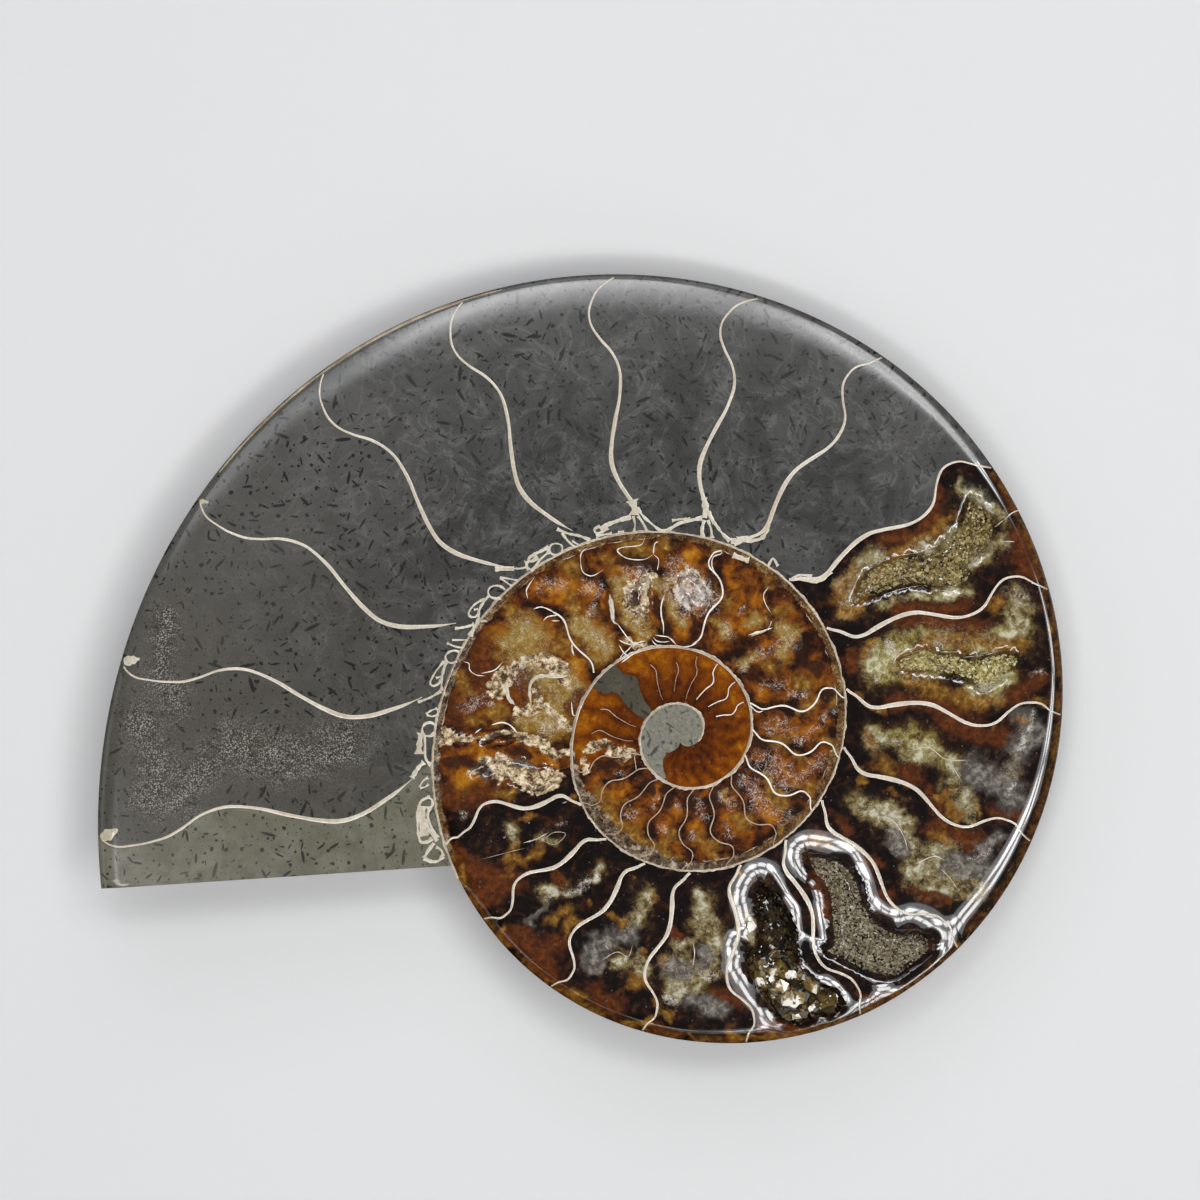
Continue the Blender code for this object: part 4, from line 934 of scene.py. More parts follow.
def faceMaterial():
    # crystal fill whose level climbs from near black through amber and olive to pale frost, with
    # rust, amber, grey, tan and white stains, and veins where slow noise crosses its middle value
    look = crystalLook
    r = Recipe("polished_face")
    place = r.attribute("facePlace")
    across, along, _ = place.parts()
    rust, amber, pale = r.attribute("stainWarm").parts()
    grey, white, tan = r.attribute("stainPale").parts()
    dark, mud, grit = r.attribute("stainDark").parts()
    phase, width, whorl = r.attribute("chamber").parts()
    fromInner, fromOuter, band = r.attribute("walls").parts()
    shifted = r.vector("ADD", place, look["otherShift"])
    broad, middle, fine, vein, crest = (r.noise(place, *look[key + "Wave"])
                                        for key in ("broad", "middle", "fine", "vein", "crest"))
    other, net = (r.noise(shifted, *look[key + "Wave"]) for key in ("other", "net"))
    toPartition = r.math("PINGPONG", phase, .5) * width
    gap = r.math("SMOOTH_MIN", toPartition, r.math("MINIMUM", fromInner, fromOuter - band), .8)
    second, third = whorl.to(.4, .6), whorl.to(1.4, 1.6)
    notSecond = 1 - second

    def facets(scale, reach):
        # angular grains, each a little lighter or darker than the next
        tilted = r.vector("ADD", place, r.combined(fine * .5, middle * 1.3))
        return r.cells(tilted, scale)[1].parts()[0].to(0, 1, -reach, reach)

    def near(spot, far, close):
        # 1 within one distance of a place on the face, 0 beyond another
        return r.vector("DISTANCE", place, spot).to(far, close)

    # the last whorl: dark, with pale clouds and fine bars that stand square on the partitions
    bars = r.noise(r.combined(fromInner * 3.2, toPartition * .35, whorl), *look["barWave"])
    bars = bars.to(.3, .7, -1, 1) * toPartition.to(3.2, 1, 0, 1)
    rough = broad.swing(.5) + middle.swing(.36) + fine.swing(.17) + (facets(.9, .14) + facets(2.3, .12))
    zones = (broad.to(.49, .515, -.05, .05) + other.to(.53, .55, -.04, .04)
             + middle.to(.49, .52, -.035, .035))
    cloud = pale.to(0, .78) * ((broad.swing(.5) + middle.swing(.4)) * .42 + .60)
    level = (cloud + rough * pale.to(.1, .8, .26, .16) + (zones + bars * .035)
             + gap.to(.2, 2.6, -.12, .06))
    yellowHere = near(look["yellowHollow"], 13, 8) * pale.to(.05, .4, 0, .75)
    colour = r.mix(yellowHere, (level + .10).colours(look["lastRamp"]),
                   (level + .05).colours(look["yellowRamp"]))

    # the second whorl: clear amber, darker at the partitions, with soft olive clouds in it
    clear = broad.swing(.36) + other.swing(.32) + middle.swing(.12) + (facets(.9, .04) + fine.swing(.06))
    clear = clear + gap.to(0, 1.8, .12, .49) + across.to(4, 18, 0, -.1)
    glow = (pale + middle.swing(.22)).to(.14, .95, smooth=True) * pale.to(.02, .2)
    glowTone = pale * .62 + (middle.swing(.3) + fine.swing(.11))
    colour = r.mix(second, colour, r.mix(glow * .92, clear.colours(look["secondRamp"]),
                                         glowTone.colours(look["glowRamp"])))

    # the third whorl: deep orange, lighter toward its outer wall
    inWhorl = fromInner / (fromInner + fromOuter)
    thirdLevel = rough * .45 + gap.to(0, .9, .22, .5) + inWhorl.to(.3, .95, -.14, .2)
    colour = r.mix(third, colour, thirdLevel.colours(look["thirdRamp"]))

    # stains, each where its mask and a noise together pass a level
    anyRust = other.to(.5, .68, 0, .45) * pale.to(.5, .1) * second.to(0, 1, 1, .3)
    colour = r.mix(anyRust, colour, middle.to(.3, .75).colours(look["rustRamp"]))
    for name, mask, wave in (("rust", rust, other), ("grey", grey, broad), ("amber", amber, other)):
        amount, low, high = look["stains"][name]
        strength = (mask + wave.swing(.42)).to(low, high, smooth=True) * mask.to(.03, .2)
        tone = mask * .4 + middle.to(.25, .75, -.15, .6)
        colour = r.mix(strength * amount, colour, tone.colours(look[name + "Ramp"]))
    crumbs = facets(2.6, .13) + fine.swing(.42) - other.to(.5, .62) * .35
    tanShape = (tan + middle.swing(.45)).to(.2, .4) * tan.to(.03, .2)
    colour = r.mix(tanShape, colour, (crumbs + middle.to(.34, .66, .1, .95)).colours(look["tanRamp"]))
    darkShape = (dark + broad.swing(.5)).to(.3, .9, smooth=True) * dark.to(.03, .3, 0, .9)
    colour = r.mix(darkShape, colour, r.mix(second, look["dark"], look["darkInside"]))

    # white: haze, frost, specks, and veins with a net of finer ones
    haze = (white + middle.swing(.8)).to(.4, 1.2) * .5 * white.to(.04, .35) * second.to(0, 1, 1, .3)
    vug = near(look["whiteVug"], 3.4, 2) * (white + middle.swing(.5)).to(.6, 1.1, 0, .8)
    hazeColour = r.mix(white.to(.55, .95), middle.colours(look["hazeRamp"]),
                       r.mix(middle.to(.42, .58), look["hazeDark"], look["hazeLight"]))
    colour = r.mix(haze.most(vug), colour, hazeColour)
    frost = white * .5 + fine.swing(.5) - crest.offMiddle() * 4
    frost = frost.to(.3, .6, 0, .6) * notSecond + frost.to(.46, .62, 0, .75) * second
    grains = fine.to(.58, .70, 0, .3) * pale.to(.5, .95)
    frost = (frost * white.to(.1, .7)).most(grains * second)
    distance, tint, heart = r.cells(place, 1.3, "3D")
    speck = distance.to(.2, .1) * tint.parts()[0].above(.72) * (white * .8 + .08)
    net = net.offMiddle().to(.022, 0) * pale.to(.25, .75) * fine.to(.42, .62) * .6
    vein = (vein.offMiddle().to(.02, 0) * white.to(.1, .6)).most(net)
    shine = (vein * .75).most(frost).most(speck)
    colour = r.mix(shine, colour, r.mix(second, look["white"], look["whiteInside"]))

    # shell band inside the outer wall, and the brown skin at the rim of the last whorl
    inBand = (band - fromOuter).to(-.06, .04) * band.above(.05)
    lowLeft = (across + along).to(-2, -16)
    bandTone = fine.to(.3, .7, -.1, .6) + middle.swing(.4) + broad.to(.3, .7, -.1, .35)
    bandTone = bandTone + lowLeft * (.1 + facets(1.5, .3))
    bandColour = r.mix(lowLeft * .55, bandTone.colours(look["bandRamp"]), bandTone.colours(look["greyRamp"]))
    colour = r.mix(inBand, colour, bandColour)
    skin = notSecond * fromOuter.to(1.3, .5) * other.to(.35, .55) * .8
    colour = r.mix(skin, colour, middle.to(.3, .8).colours(look["amberRamp"][:3] + [(1, look["edge"])]))
    colour = r.mix(mud.to(-.05, .05), colour, mudColour(r, place, whorl, phase, grit))

    # the polish is worn away along the rim at the low left
    worn = (across * -.5 + along * -.85).to(14, 26) * notSecond * fromOuter.to(2.4, 1.4, 0, .92)
    return r.finish(colour, middle.to(.2, .8, .2, .32), r.bump(middle, .05, .0002), Coat_Weight=1 - worn,
                    Coat_Roughness=.05, Coat_IOR=1.52, Specular_IOR_Level=0)


flankLook = {
    "ramp": [(.32, (.032, .019, .011)), (.46, (.085, .050, .026)), (.58, (.155, .105, .062)),
             (.72, (.27, .215, .15))],
    "line": (.045, .028, .017), "worn": (.06, .04, .026), "pearl": (.34, .33, .29),
    "slowWave": (.10, 5, .62, .6), "fineWave": (2, 4, .65), "lineWave": (1, 4, .7),
}


def flankMaterial():
    # brown shell: growth lines that follow the partitions, worn patches, traces of mother of pearl
    look = flankLook
    r = Recipe("outer_shell")
    place = r.attribute("facePlace")
    phase, width, whorl = r.attribute("chamber").parts()
    slow, fine = r.noise(place, *look["slowWave"]), r.noise(place, *look["fineWave"])
    lines = r.noise(r.combined(phase * 9, slow * 1.5, whorl), *look["lineWave"])
    colour = r.mix(lines.to(.42, .62, 0, .55), slow.colours(look["ramp"]), look["line"])
    colour = r.mix(fine.to(.35, .7, 0, .5), colour, look["worn"])
    colour = r.mix(slow.to(.6, .68) * fine.to(.45, .6) * .5, colour, look["pearl"])
    return r.finish(colour, fine.to(.3, .7, .35, .6), r.bump(lines * .7 + fine * .4, .5, .0006),
                    Coat_Weight=.2, Coat_Roughness=.22)


def sawMaterial():
    # sawn grey mud, matt
    r = Recipe("sawn_edge")
    place = r.attribute("facePlace")
    fine, slow = r.noise(place, 2.5, 5, .7), r.noise(place, .2, 3, .5)
    colour = r.mix(slow.to(.35, .65), (.10, .105, .085), (.15, .15, .13))
    colour = r.mix(fine.to(.4, .7, 0, .5), colour, (.05, .05, .042))
    return r.finish(colour, .6, r.bump(fine, .3, .0003))


def shellMaterial(name, bright, shade, stain):
    # cut shell: a pale colour clouded with a darker one and with fine stains
    r = Recipe(name)
    place = r.node("ShaderNodeTexCoord", (), "Object")
    fine, slow = r.noise(place, 2600, 4, .65), r.noise(place, 260, 3, .6)
    colour = r.mix(fine.to(.42, .7, 0, .55), r.mix(slow.to(.35, .65), bright, shade), stain)
    return r.finish(colour, .3, r.bump(fine, .15, .00015), Coat_Weight=.5, Coat_Roughness=.1)


def crystalMaterial(name, ramp, clear, gloss):
    # small crystals: each has a tone of its own, its heart a little clear
    r = Recipe(name)
    slow = r.noise(r.attribute("facePlace"), .35, 3, .6)
    tone = r.attribute("tone", "Fac") + slow.to(.3, .7, -.22, .22)
    return r.finish(tone.colours(ramp), gloss, None, Transmission_Weight=clear, IOR=1.55, Coat_Weight=.3,
                    Coat_Roughness=.08)


def ribbon(path, widths, rise=0.03, sink=0.35):
    # a flat strip with a slightly domed top carried along a path on the cut face, closed at both ends
    path = np.asarray(path, float)
    steps = np.gradient(path, axis=0)
    along = steps / np.maximum(np.hypot(steps[:, 0], steps[:, 1]), 1e-9)[:, None]
    aside = np.stack([-along[:, 1], along[:, 0]], -1)
    offsets = np.array([-0.5, -0.5, -0.25, 0.25, 0.5, 0.5])
    lifts = np.array([-sink, 0.3 * rise, rise, rise, 0.3 * rise, -sink])
    widths = np.broadcast_to(widths, len(path))
    xy = path[:, None] + aside[:, None] * (offsets[None, :, None] * widths[:, None, None])
    middle = faceHeight(path[:, 0], path[:, 1])[:, None]
    surface = np.minimum(faceHeight(xy[..., 0], xy[..., 1]), middle + 0.05)
    z = np.where(lifts[None] > 0, surface + lifts[None], middle + lifts[None])
    points = np.concatenate([xy, z[..., None]], -1)
    n, m = points.shape[:2]
    ids = np.arange(n * m).reshape(n, m)
    nextIds = np.roll(ids, -1, axis=1)
    quads = np.stack([ids[:-1], ids[1:], nextIds[1:], nextIds[:-1]], -1).reshape(-1, 4)
    fan = np.stack([np.zeros(m - 2, int), np.arange(1, m - 1), np.arange(2, m)], -1)
    return points.reshape(-1, 3), np.concatenate([quads[:, [0, 1, 2]], quads[:, [0, 2, 3]],
                                                  ids[0][fan], ids[-1][fan[:, ::-1]]])


def joined(parts):
    # several shells as one list of points and faces
    starts = np.cumsum([0] + [len(p) for p, _ in parts[:-1]])
    return (np.concatenate([p for p, _ in parts]),
            np.concatenate([f + start for (_, f), start in zip(parts, starts)]))


def smoothPath(flat, spacing=0.3):
    # an even smooth curve through given places
    corners = np.reshape(flat, (-1, 2)).astype(float)
    gaps = np.hypot(*np.diff(corners, axis=0).T)
    s = np.concatenate([[0], np.cumsum(gaps)])
    t = np.linspace(0, s[-1], max(int(s[-1] / spacing), 2) + 1)
    padded = np.concatenate([[2 * corners[0] - corners[1]], corners, [2 * corners[-1] - corners[-2]]])
    i = np.clip(np.searchsorted(s, t, side="right") - 1, 0, len(gaps) - 1)
    u = ((t - s[i]) / np.maximum(gaps[i], 1e-9))[:, None]
    return curveThrough(padded[i], padded[i + 1], padded[i + 2], padded[i + 3], u)


print("stone")
whorls = {
    "lastEnds": spiral["notchTurn"] - 14.0, "secondEnds": -521.0,   # turns where the fill changes
    "bandEnds": -152.0,                                             # no band of shell past this turn
    # width of the band of shell inside the outer wall of the second whorl: turn, millimetres
    "band": [(-545, 0.0), (-530, .5), (-515, 1.0), (-500, 1.8), (-470, 1.9), (-450, 1.4), (-430, 1.1),
             (-360, 1.1), (-300, 1.0), (-250, .9), (-200, .8), (-150, .9)],
    "bandWaves": [(0.3, 2.6, 4), (0.15, 0.9, 7)],                   # its uneven edge: reach, size, seed
    "mudFrom": 0.02,                                                # faces wholly this far into the mud
}
points, turns, faces, slots = buildStone()
x, y = points[:, 0], points[:, 1]
inner, outer = wallRadius(turns - 360.0), wallRadius(turns)
radius = np.hypot(x, y)
share = np.clip((radius - inner) / np.maximum(outer - inner, 1e-6), 0, 1)
phase, degrees = chamberPhase(turns, share)
whorl = np.where(turns > whorls["lastEnds"], 0.0, np.where(turns > whorls["secondEnds"], 1.0, 2.0))
bandWidth = np.where(turns > whorls["bandEnds"], 0, np.interp(turns, *zip(*whorls["band"])))
bandWidth = bandWidth * (1 + sum(reach * wander(x, y, size, seed) for reach, size, seed in whorls["bandWaves"]))
vugX, vugY, _ = crystalLook["whiteVug"]
faint = np.where((whorl == 1) & (np.hypot(x - vugX, y - vugY) > stainLook["vugReach"]), stainLook["faint"], 1.0)


def stained(name, sharpness=2):
    # how strongly one colour of stain lies at each vertex, without its thin veins
    strokes = [s for s in stains[name] if s[0] >= thinVein or name not in ("white", "tan")]
    return stainMask(x, y, turns, strokes, sharpness)


vertexData = {
    "facePlace": points,
    "stainWarm": np.stack([stained("rust"), stained("amber"), stained("pale")], -1),
    "stainPale": np.stack([stained("grey"), stained("white") * faint, stained("tan", 4)], -1),
    "stainDark": np.stack([stained("dark", 3), mudEdge(x, y, turns, share, phase, degrees),
                           stained("grit")], -1),
    "chamber": np.stack([phase, np.radians(degrees) * radius, whorl], -1),
    "walls": np.stack([radius - inner, outer - radius, bandWidth], -1),
}
welded, triangles, kept = weld(points, faces)
cornerData = {key: values[faces[kept]].reshape(-1, *values.shape[1:])
              for key, values in vertexData.items()}
allMud = vertexData["stainDark"][:, 1][faces[kept]].min(1) > whorls["mudFrom"]
stone = makePiece("ammonite_stone", welded, triangles,
                  [faceMaterial(), flankMaterial(), sawMaterial(), mudMaterial()],
                  np.where(allMud & (slots[kept] == 0), 3, slots[kept]), cornerData)
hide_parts("ammonite_half")
print("stone:", len(triangles), "triangles")

paleShell = shellMaterial("pale_shell", (0.47, 0.42, 0.335), (0.37, 0.31, 0.225), (0.22, 0.165, 0.105))
thinShell = shellMaterial("thin_shell", (0.36, 0.26, 0.17), (0.24, 0.15, 0.08), (0.13, 0.06, 0.025))
whiteShell = shellMaterial("white_shell", (0.68, 0.64, 0.57), (0.55, 0.49, 0.40), (0.42, 0.34, 0.25))
wallShell = shellMaterial("wall_shell", (0.40, 0.33, 0.22), (0.19, 0.125, 0.062), (0.07, 0.036, 0.016))
laceShell = shellMaterial("lace_shell", (0.47, 0.43, 0.34), (0.33, 0.28, 0.19), (0.19, 0.145, 0.085))


def shellPiece(name, ribbons, shell):
    # ribbons of shell as one piece, finished like the fossil
    makePiece(name, *joined(ribbons), [shell])


print("partitions")
shellWidths = {
    "last": [(0, .34), (.05, .36), (.12, .46), (.25, .58), (.4, .5), (.6, .38), (.8, .3), (.93, .24), (1, .2)],
    "second": [(0, .18), (.2, .21), (.6, .22), (.85, .18), (1, .16)],
    "third": [(0, .08), (.3, .13), (.6, .15), (1, .11)],
}
shownSpans = {  # share ranges where a partition is whole, for those that are broken or hidden
    0: [(.28, .9)], 1: [(.22, .93)], 2: [(.17, .95)], 3: [(.1, .9)], 4: [(.2, .72)], 5: [(.1, .72)],
    6: [], 7: [], 8: [(.1, .7)], 9: [(.1, .72)], 20: [], 21: [(.38, .62)], 22: [(.04, .93)], 23: [],
    24: [], 25: [(.05, .62)], 26: [], 27: [],
}
brightPartitions = {0, 1, 2, 17, 18, 19, 22, 25, 28, 29}
coreFrom = 40  # partitions of the core stop short of the walls and narrow at their inner end
strips = {"thin": [], "white": [], "pale": []}
for number, (*_, kind) in enumerate(partitions["places"]):
    size = kind if kind in shellWidths else "last"
    reach = (0.06, 0.985) if number >= coreFrom else (0.01, 0.99)
    for low, high in shownSpans.get(number, [reach]):
        share = np.linspace(low, high, 90 if size == "last" else 44)
        width = smoothTable(share, *zip(*shellWidths[size])) * (1 + 0.08 * np.sin(share * 40 + number))
        if number >= coreFrom:
            width = width * np.clip((share - low) / 0.05, 0.3, 1)
        group = "pale" if size == "last" else ("white" if number in brightPartitions else "thin")
        strips[group].append(ribbon(onWhorl(partitionTurn(number, share), share),
                                    width * (0.72 if group == "thin" else 1.0)))
for group, shell in (("pale", paleShell), ("thin", thinShell), ("white", whiteShell)):
    shellPiece("partitions_" + group, strips[group], shell)

print("lace and veins")
# Lace of shell along the inner wall, and loose pieces of shell: width, then places along each.
lace = [
    (.32, -16.08, 24.59, -16.08, 25.39, -16.75, 25.73, -17.55, 25.53, -17.76, 24.86, -17.42, 24.32, -16.62,
     24.19, -16.08, 24.59), (.43, -17.69, 24.72, -18.49, 24.05, -19.16, 23.38, -19.7, 22.58, -20.23, 22.04),
    (.6, -17.82, 25.26, -18.76, 24.79, -19.7, 24.32, -20.44, 23.85, -20.57, 23.45, -20.1, 23.38, -19.3,
     23.92), (.56, -20.77, 23.38, -20.84, 22.71, -20.5, 22.18), (.29, -24.39, 21.17, -23.32, 21.04, -21.98,
     20.77), (.29, -24.39, 21.11, -23.58, 20.57, -22.85, 20.03), (.21, -22.85, 20.03, -22.38, 20.44, -21.98,
     20.77), (.35, -23.72, 19.5, -24.12, 19.9, -24.92, 20.1, -25.73, 19.83, -26, 19.23, -25.73, 18.63, -24.92,
     18.36, -24.25, 18.43), (.43, -25.93, 18.69, -26.53, 17.96, -27, 17.22, -27.27, 16.42, -27.2, 15.61),
    (.35, -26.4, 18.29, -27.2, 17.96, -27.87, 17.49, -28.41, 16.82, -28.61, 16.28, -28.27, 15.88, -27.6,
     15.95, -27.2, 16.42), (.29, -27.87, 16.88, -27.34, 16.95), (.74, -26.53, 15.48, -26.53, 15.21), (.6,
     -27.2, 15.75, -27.6, 14.94, -28.01, 14.14, -28.41, 13.33), (.29, -30.82, 12.8, -29.88, 12.8, -28.81,
     12.8), (.32, -31.49, 12.4, -30.42, 11.93, -29.35, 11.73), (.24, -29.35, 11.73, -29.08, 12.26, -28.81,
     12.8), (.35, -29.88, 11.19, -30.42, 11.39, -31.22, 11.19, -31.69, 10.65, -31.56, 9.98, -30.89, 9.71,
     -30.15, 9.98), (.43, -31.62, 9.98, -31.89, 9.04, -32.16, 7.97, -32.23, 6.9, -32.16, 5.96), (.35, -31.96,
     9.98, -32.43, 9.31, -32.96, 8.64, -33.43, 7.84, -33.77, 7.04, -33.37, 6.63, -32.7, 6.9, -32.29, 7.44),
    (.29, -32.96, 7.71, -32.29, 7.91), (.29, -34.3, 2.88, -33.63, 3.35, -32.83, 3.62), (.32, -34.17, 2.75,
     -33.5, 2.55, -32.83, 2.75), (.24, -32.83, 2.75, -32.7, 3.15, -32.83, 3.62), (.43, -32.96, 1.27, -33.63,
     1.74, -34.44, 1.54, -34.84, .8, -34.57, .07, -33.77, -.07, -33.1, .34), (.94, -34.97, .34, -35.11, -.6,
     -35.24, -1.68, -35.24, -2.48), (.43, -34.51, -.07, -34.44, -1.27, -34.44, -2.61, -34.17, -3.42, -33.63,
     -3.95), (.29, -35.18, -6.9, -34.71, -6.1, -34.04, -5.63), (.32, -35.11, -7.04, -34.44, -6.9, -33.97,
     -6.5), (.47, -33.77, -8.24, -34.57, -8.51, -35.11, -9.04, -35.31, -10.25), (1.07, -34.71, -9.45, -34.77,
     -10.79, -34.77, -12.13, -34.51, -13.47), (.4, -34.17, -8.24, -33.5, -8.64, -33.5, -9.45, -34.17, -9.78),
    (.46, -35.38, -10.25, -35.44, -11.99, -35.31, -13.33, -34.97, -14.27, -34.04, -14.2, -33.5, -13.74), (.6,
     -34.57, -11.32, -33.77, -12.8, -32.83, -14.14), (.47, -33.77, -9.71, -34.1, -10.65, -33.77, -11.86,
     -33.23, -12.93, -32.7, -13.74), (.56, -33.23, -14.41, -33.97, -15.34, -34.57, -16.42), (.54, -34.57,
     -16.42, -33.63, -16.88, -32.7, -16.82, -32.03, -16.15), (.4, -32.96, -14.94, -32.29, -15.34, -31.96,
     -16.15), (.67, -25.06, 22.31, -23.72, 22.38, -22.51, 22.38), (.35, -22.78, 22.38, -21.71, 22.38, -20.77,
     22.58), (.4, -30.42, 14.34, -29.08, 14.54, -27.87, 14.87), (.4, -35.38, 4.49, -33.77, 5.09, -32.29,
     5.96), (.74, -36.18, -5.7, -35.38, -4.36, -34.57, -3.55), (1.21, -6.7, 31.56, -6.43, 30.49, -6.43,
     29.55), (.46, -6.03, 30.49, -5.09, 29.28, -4.02, 28.34, -2.95, 27.54, -1.88, 27.4), (.35, -5.9, 29.41,
     -5.23, 28.48, -4.69, 27.4), (.35, -6.57, 29.41, -6.3, 28.34, -6.43, 27.27), (.74, -6.83, 29.28, -8.31,
     28.88, -9.92, 28.27, -10.99, 27.67), (.4, -10.99, 28.07, -11.73, 27.67, -11.52, 27.14, -10.72, 27.27,
     -9.92, 27.81), (.87, 2.95, 31.83, 3.15, 30.49, 3.02, 29.15), (.54, 3.48, 29.95, 4.29, 28.61, 5.36, 27.14,
     6.43, 26.06), (.67, 2.95, 28.88, 2.68, 27.54, 2.81, 26.6), (.4, 3.48, 28.88, 3.89, 27.67, 4.02, 26.46),
    (.54, 2.68, 29.15, 1.34, 28.88, -.27, 28.48, -1.34, 27.87, -2.01, 27.4), (.4, -1.34, 28.81, 0, 29.01,
     1.07, 29.01), (.6, 11.52, 28.21, 11.19, 27.14, 10.59, 26.4, 9.38, 26.13, 7.91, 26.06, 6.57, 26.06), (.54,
     7.37, 26.33, 8.17, 26.53, 8.84, 26.46), (.67, 6.83, 24.19, 7.91, 23.79, 8.98, 23.52), (.56, 19.97, 22.04,
     18.89, 20.97, 17.69, 20.64, 16.62, 20.84, 15.68, 21.11), (.4, 11.52, 22.71, 12.19, 23.72, 12.86, 22.71),
    (.4, 14.87, 20.97, 15.68, 21.51, 17.42, 21.37), (.43, -16.75, 27.67, -15.28, 27.07, -13.67, 26.73, -12.33,
     26.2), (.35, -16.08, 27.14, -15.28, 26.06, -14.34, 25.26), (.29, -14.74, 26.06, -13.67, 25.46), (.4,
     -11.52, 26.73, -10.45, 26.93, -9.38, 27.07), (.35, -8.58, 27.27, -7.77, 27.34),
]
loosePieces = [
    (.29, -19.74, 21.28, -20.64, 19.94, -20.86, 19.27, -20.64, 18.27), (.35, -19.97, 16.93, -18.85, 17.22,
     -17.51, 16.71, -16.39, 15.92), (.32, -18.63, 15.37, -17.96, 15.92, -16.62, 16.15), (.27, -17.51, 15.37,
     -16.39, 15.37), (.4, -14.83, 12.13, -14.49, 10.68), (.27, -29.35, 9.89, -28.56, 9.67, -28.45, 8.78,
     -27.56, 8.11, -26.44, 8), (.29, -26.89, 8.33, -25.1, 8.78, -23.99, 9.89), (.43, -25.55, 1.41, -24.21,
     1.74, -23.09, 1.41, -21.98, .29), (.29, -27.78, .29, -26.89, .96), (.32, -14.83, 4.53, -14.61, 2.75,
     -14.16, 2.75), (.27, -12.6, 25.17, -13.49, 24.46, -13.58, 23.2, -13.31, 21.95, -12.42, 21.42, -11.7,
     21.51, -10.54, 22.22), (.27, -4.91, 26.69, -5.54, 25.53, -7.77, 25.26, -8.67, 24.81, -7.77, 23.92, -6.34,
     23.56, -4.91, 23.65, -3.84, 24.28), (.24, -3.84, 24.28, -3.13, 23.56, -3.31, 22.13), (.32, -3.84, 24.28,
     -3.66, 25.71, -3.13, 25.97), (.27, 5.27, 24.81, 5.27, 24.37, 4.2, 23.92, 4.02, 22.67, 4.73, 21.42), (.4,
     -2.32, 18.92, -2.77, 17.49, -2.77, 16.06, -2.5, 14.81, -2.5, 13.56), (.32, -9.65, 18.92, -9.38, 17.13,
     -9.2, 15.34, -8.67, 14.9), (.29, -8.67, 14.99, -7.77, 13.74, -6.88, 12.66, -5.27, 12.04), (.35, -14.74,
     12.31, -14.74, 11.41, -14.47, 10.7), (.35, 9.56, 13.74, 10.45, 14), (.24, 11.67, 19.98, 10.94, 18.89,
     11.18, 17.67, 11.91, 16.45), (.38, 8.87, 13.48, 9.6, 13.65, 10.82, 14.02, 12.16, 14.45), (.35, 8.87,
     4.27, 10.09, 3.17, 10.94, 3.34), (.29, 43.15, 28.88, 44.22, 29.82, 45.29, 30.22), (.29, -8.44, 12.8,
     -7.64, 12.4, -6.7, 12.13), (.35, -8.44, 12.13, -7.77, 11.06, -6.97, 10.52), (.27, -6.7, 12.13, -7.24,
     11.46, -8.04, 10.79, -8.44, 9.98), (.29, -8.17, 9.71, -7.64, 10.12, -6.7, 10.79, -6.16, 11.06), (.35,
     -6.7, 12.13, -5.63, 12.53, -4.82, 12.66), (.29, -3.89, 13.2, -3.35, 12.66, -2.41, 12.53, -1.61, 12.66),
    (.32, -3.62, 13.47, -2.81, 13.33, -1.88, 13.2, -1.21, 12.66, -.8, 12.13), (.27, -4.02, 12.8, -3.62, 12.26,
     -2.95, 11.99), (.32, -.8, 12.13, 0, 11.86, 1.07, 11.99, 2.01, 12.4),
]


def strokeRibbons(strokes, narrower, rise, ends=0.15, wider=0.0):
    # a ribbon along each stroke: a share of the stroke's width, less toward both ends, and uneven
    made = []
    for width, *flat in strokes:
        path = smoothPath(flat)
        x, y = path.T
        taper = ends + (1 - ends) * np.clip(np.sin(math.pi * np.linspace(0, 1, len(path))) * 2.0, 0, 1)
        uneven = 1 + 0.3 * wander(x, y, 1.3, 2) + 0.15 * wander(x, y, .5, 6)
        made.append(ribbon(path, (narrower * width + wider) * taper * uneven, rise))
    return made


def veins(name):
    # the thin strokes among one colour of stain
    return [s for s in stains[name] if s[0] < thinVein]


shellPiece("wall_lace", strokeRibbons(lace, 0.74, 0.035, 1.7), laceShell)
shellPiece("loose_shell", strokeRibbons(loosePieces, 0.45, 0.03), whiteShell)
shellPiece("white_veins", strokeRibbons(veins("white"), 0.5, 0.02), paleShell)
shellPiece("tan_veins", strokeRibbons(veins("tan"), 2.0, 0.03, wider=0.06), laceShell)

# Shell left on the outer edge: a tan strip between two turns, and pale tabs where partitions meet it.
edgeShell = {"from": 112.0, "to": 151.0, "width": 0.42, "inset": 0.34,
             "tabs": [(154.2, 1.7, 0.6), (172.6, 2.6, 1.2), (190.2, 3.0, 1.4)]}  # turn, depth, width
edgeTurn = np.arange(edgeShell["from"], edgeShell["to"], 0.8)
along = (edgeTurn - edgeShell["from"]) / (edgeShell["to"] - edgeShell["from"])
uneven = 1 + 0.5 * wander(edgeTurn, 0 * edgeTurn, 9.0, 2)
edgeWidth = np.clip(edgeShell["width"] * uneven * np.sin(math.pi * along)**0.3, 0.1, 0.55)
shellPiece("edge_shell", [ribbon(polar(edgeTurn, wallRadius(edgeTurn) - edgeShell["inset"]), edgeWidth, 0.02)],
           wallShell)
tabs = []
for turn, depth, width in edgeShell["tabs"]:
    reach = np.linspace(0.5, depth, 12)
    shape = width * np.sin(np.linspace(0.5, 2.9, 12)) * (1 + 0.3 * wander(reach, 0 * reach + turn, 0.9, 3))
    tabs.append(ribbon(polar(turn - 0.25 * reach, wallRadius(turn) - reach), shape, 0.03))
shellPiece("edge_tabs", tabs, laceShell)

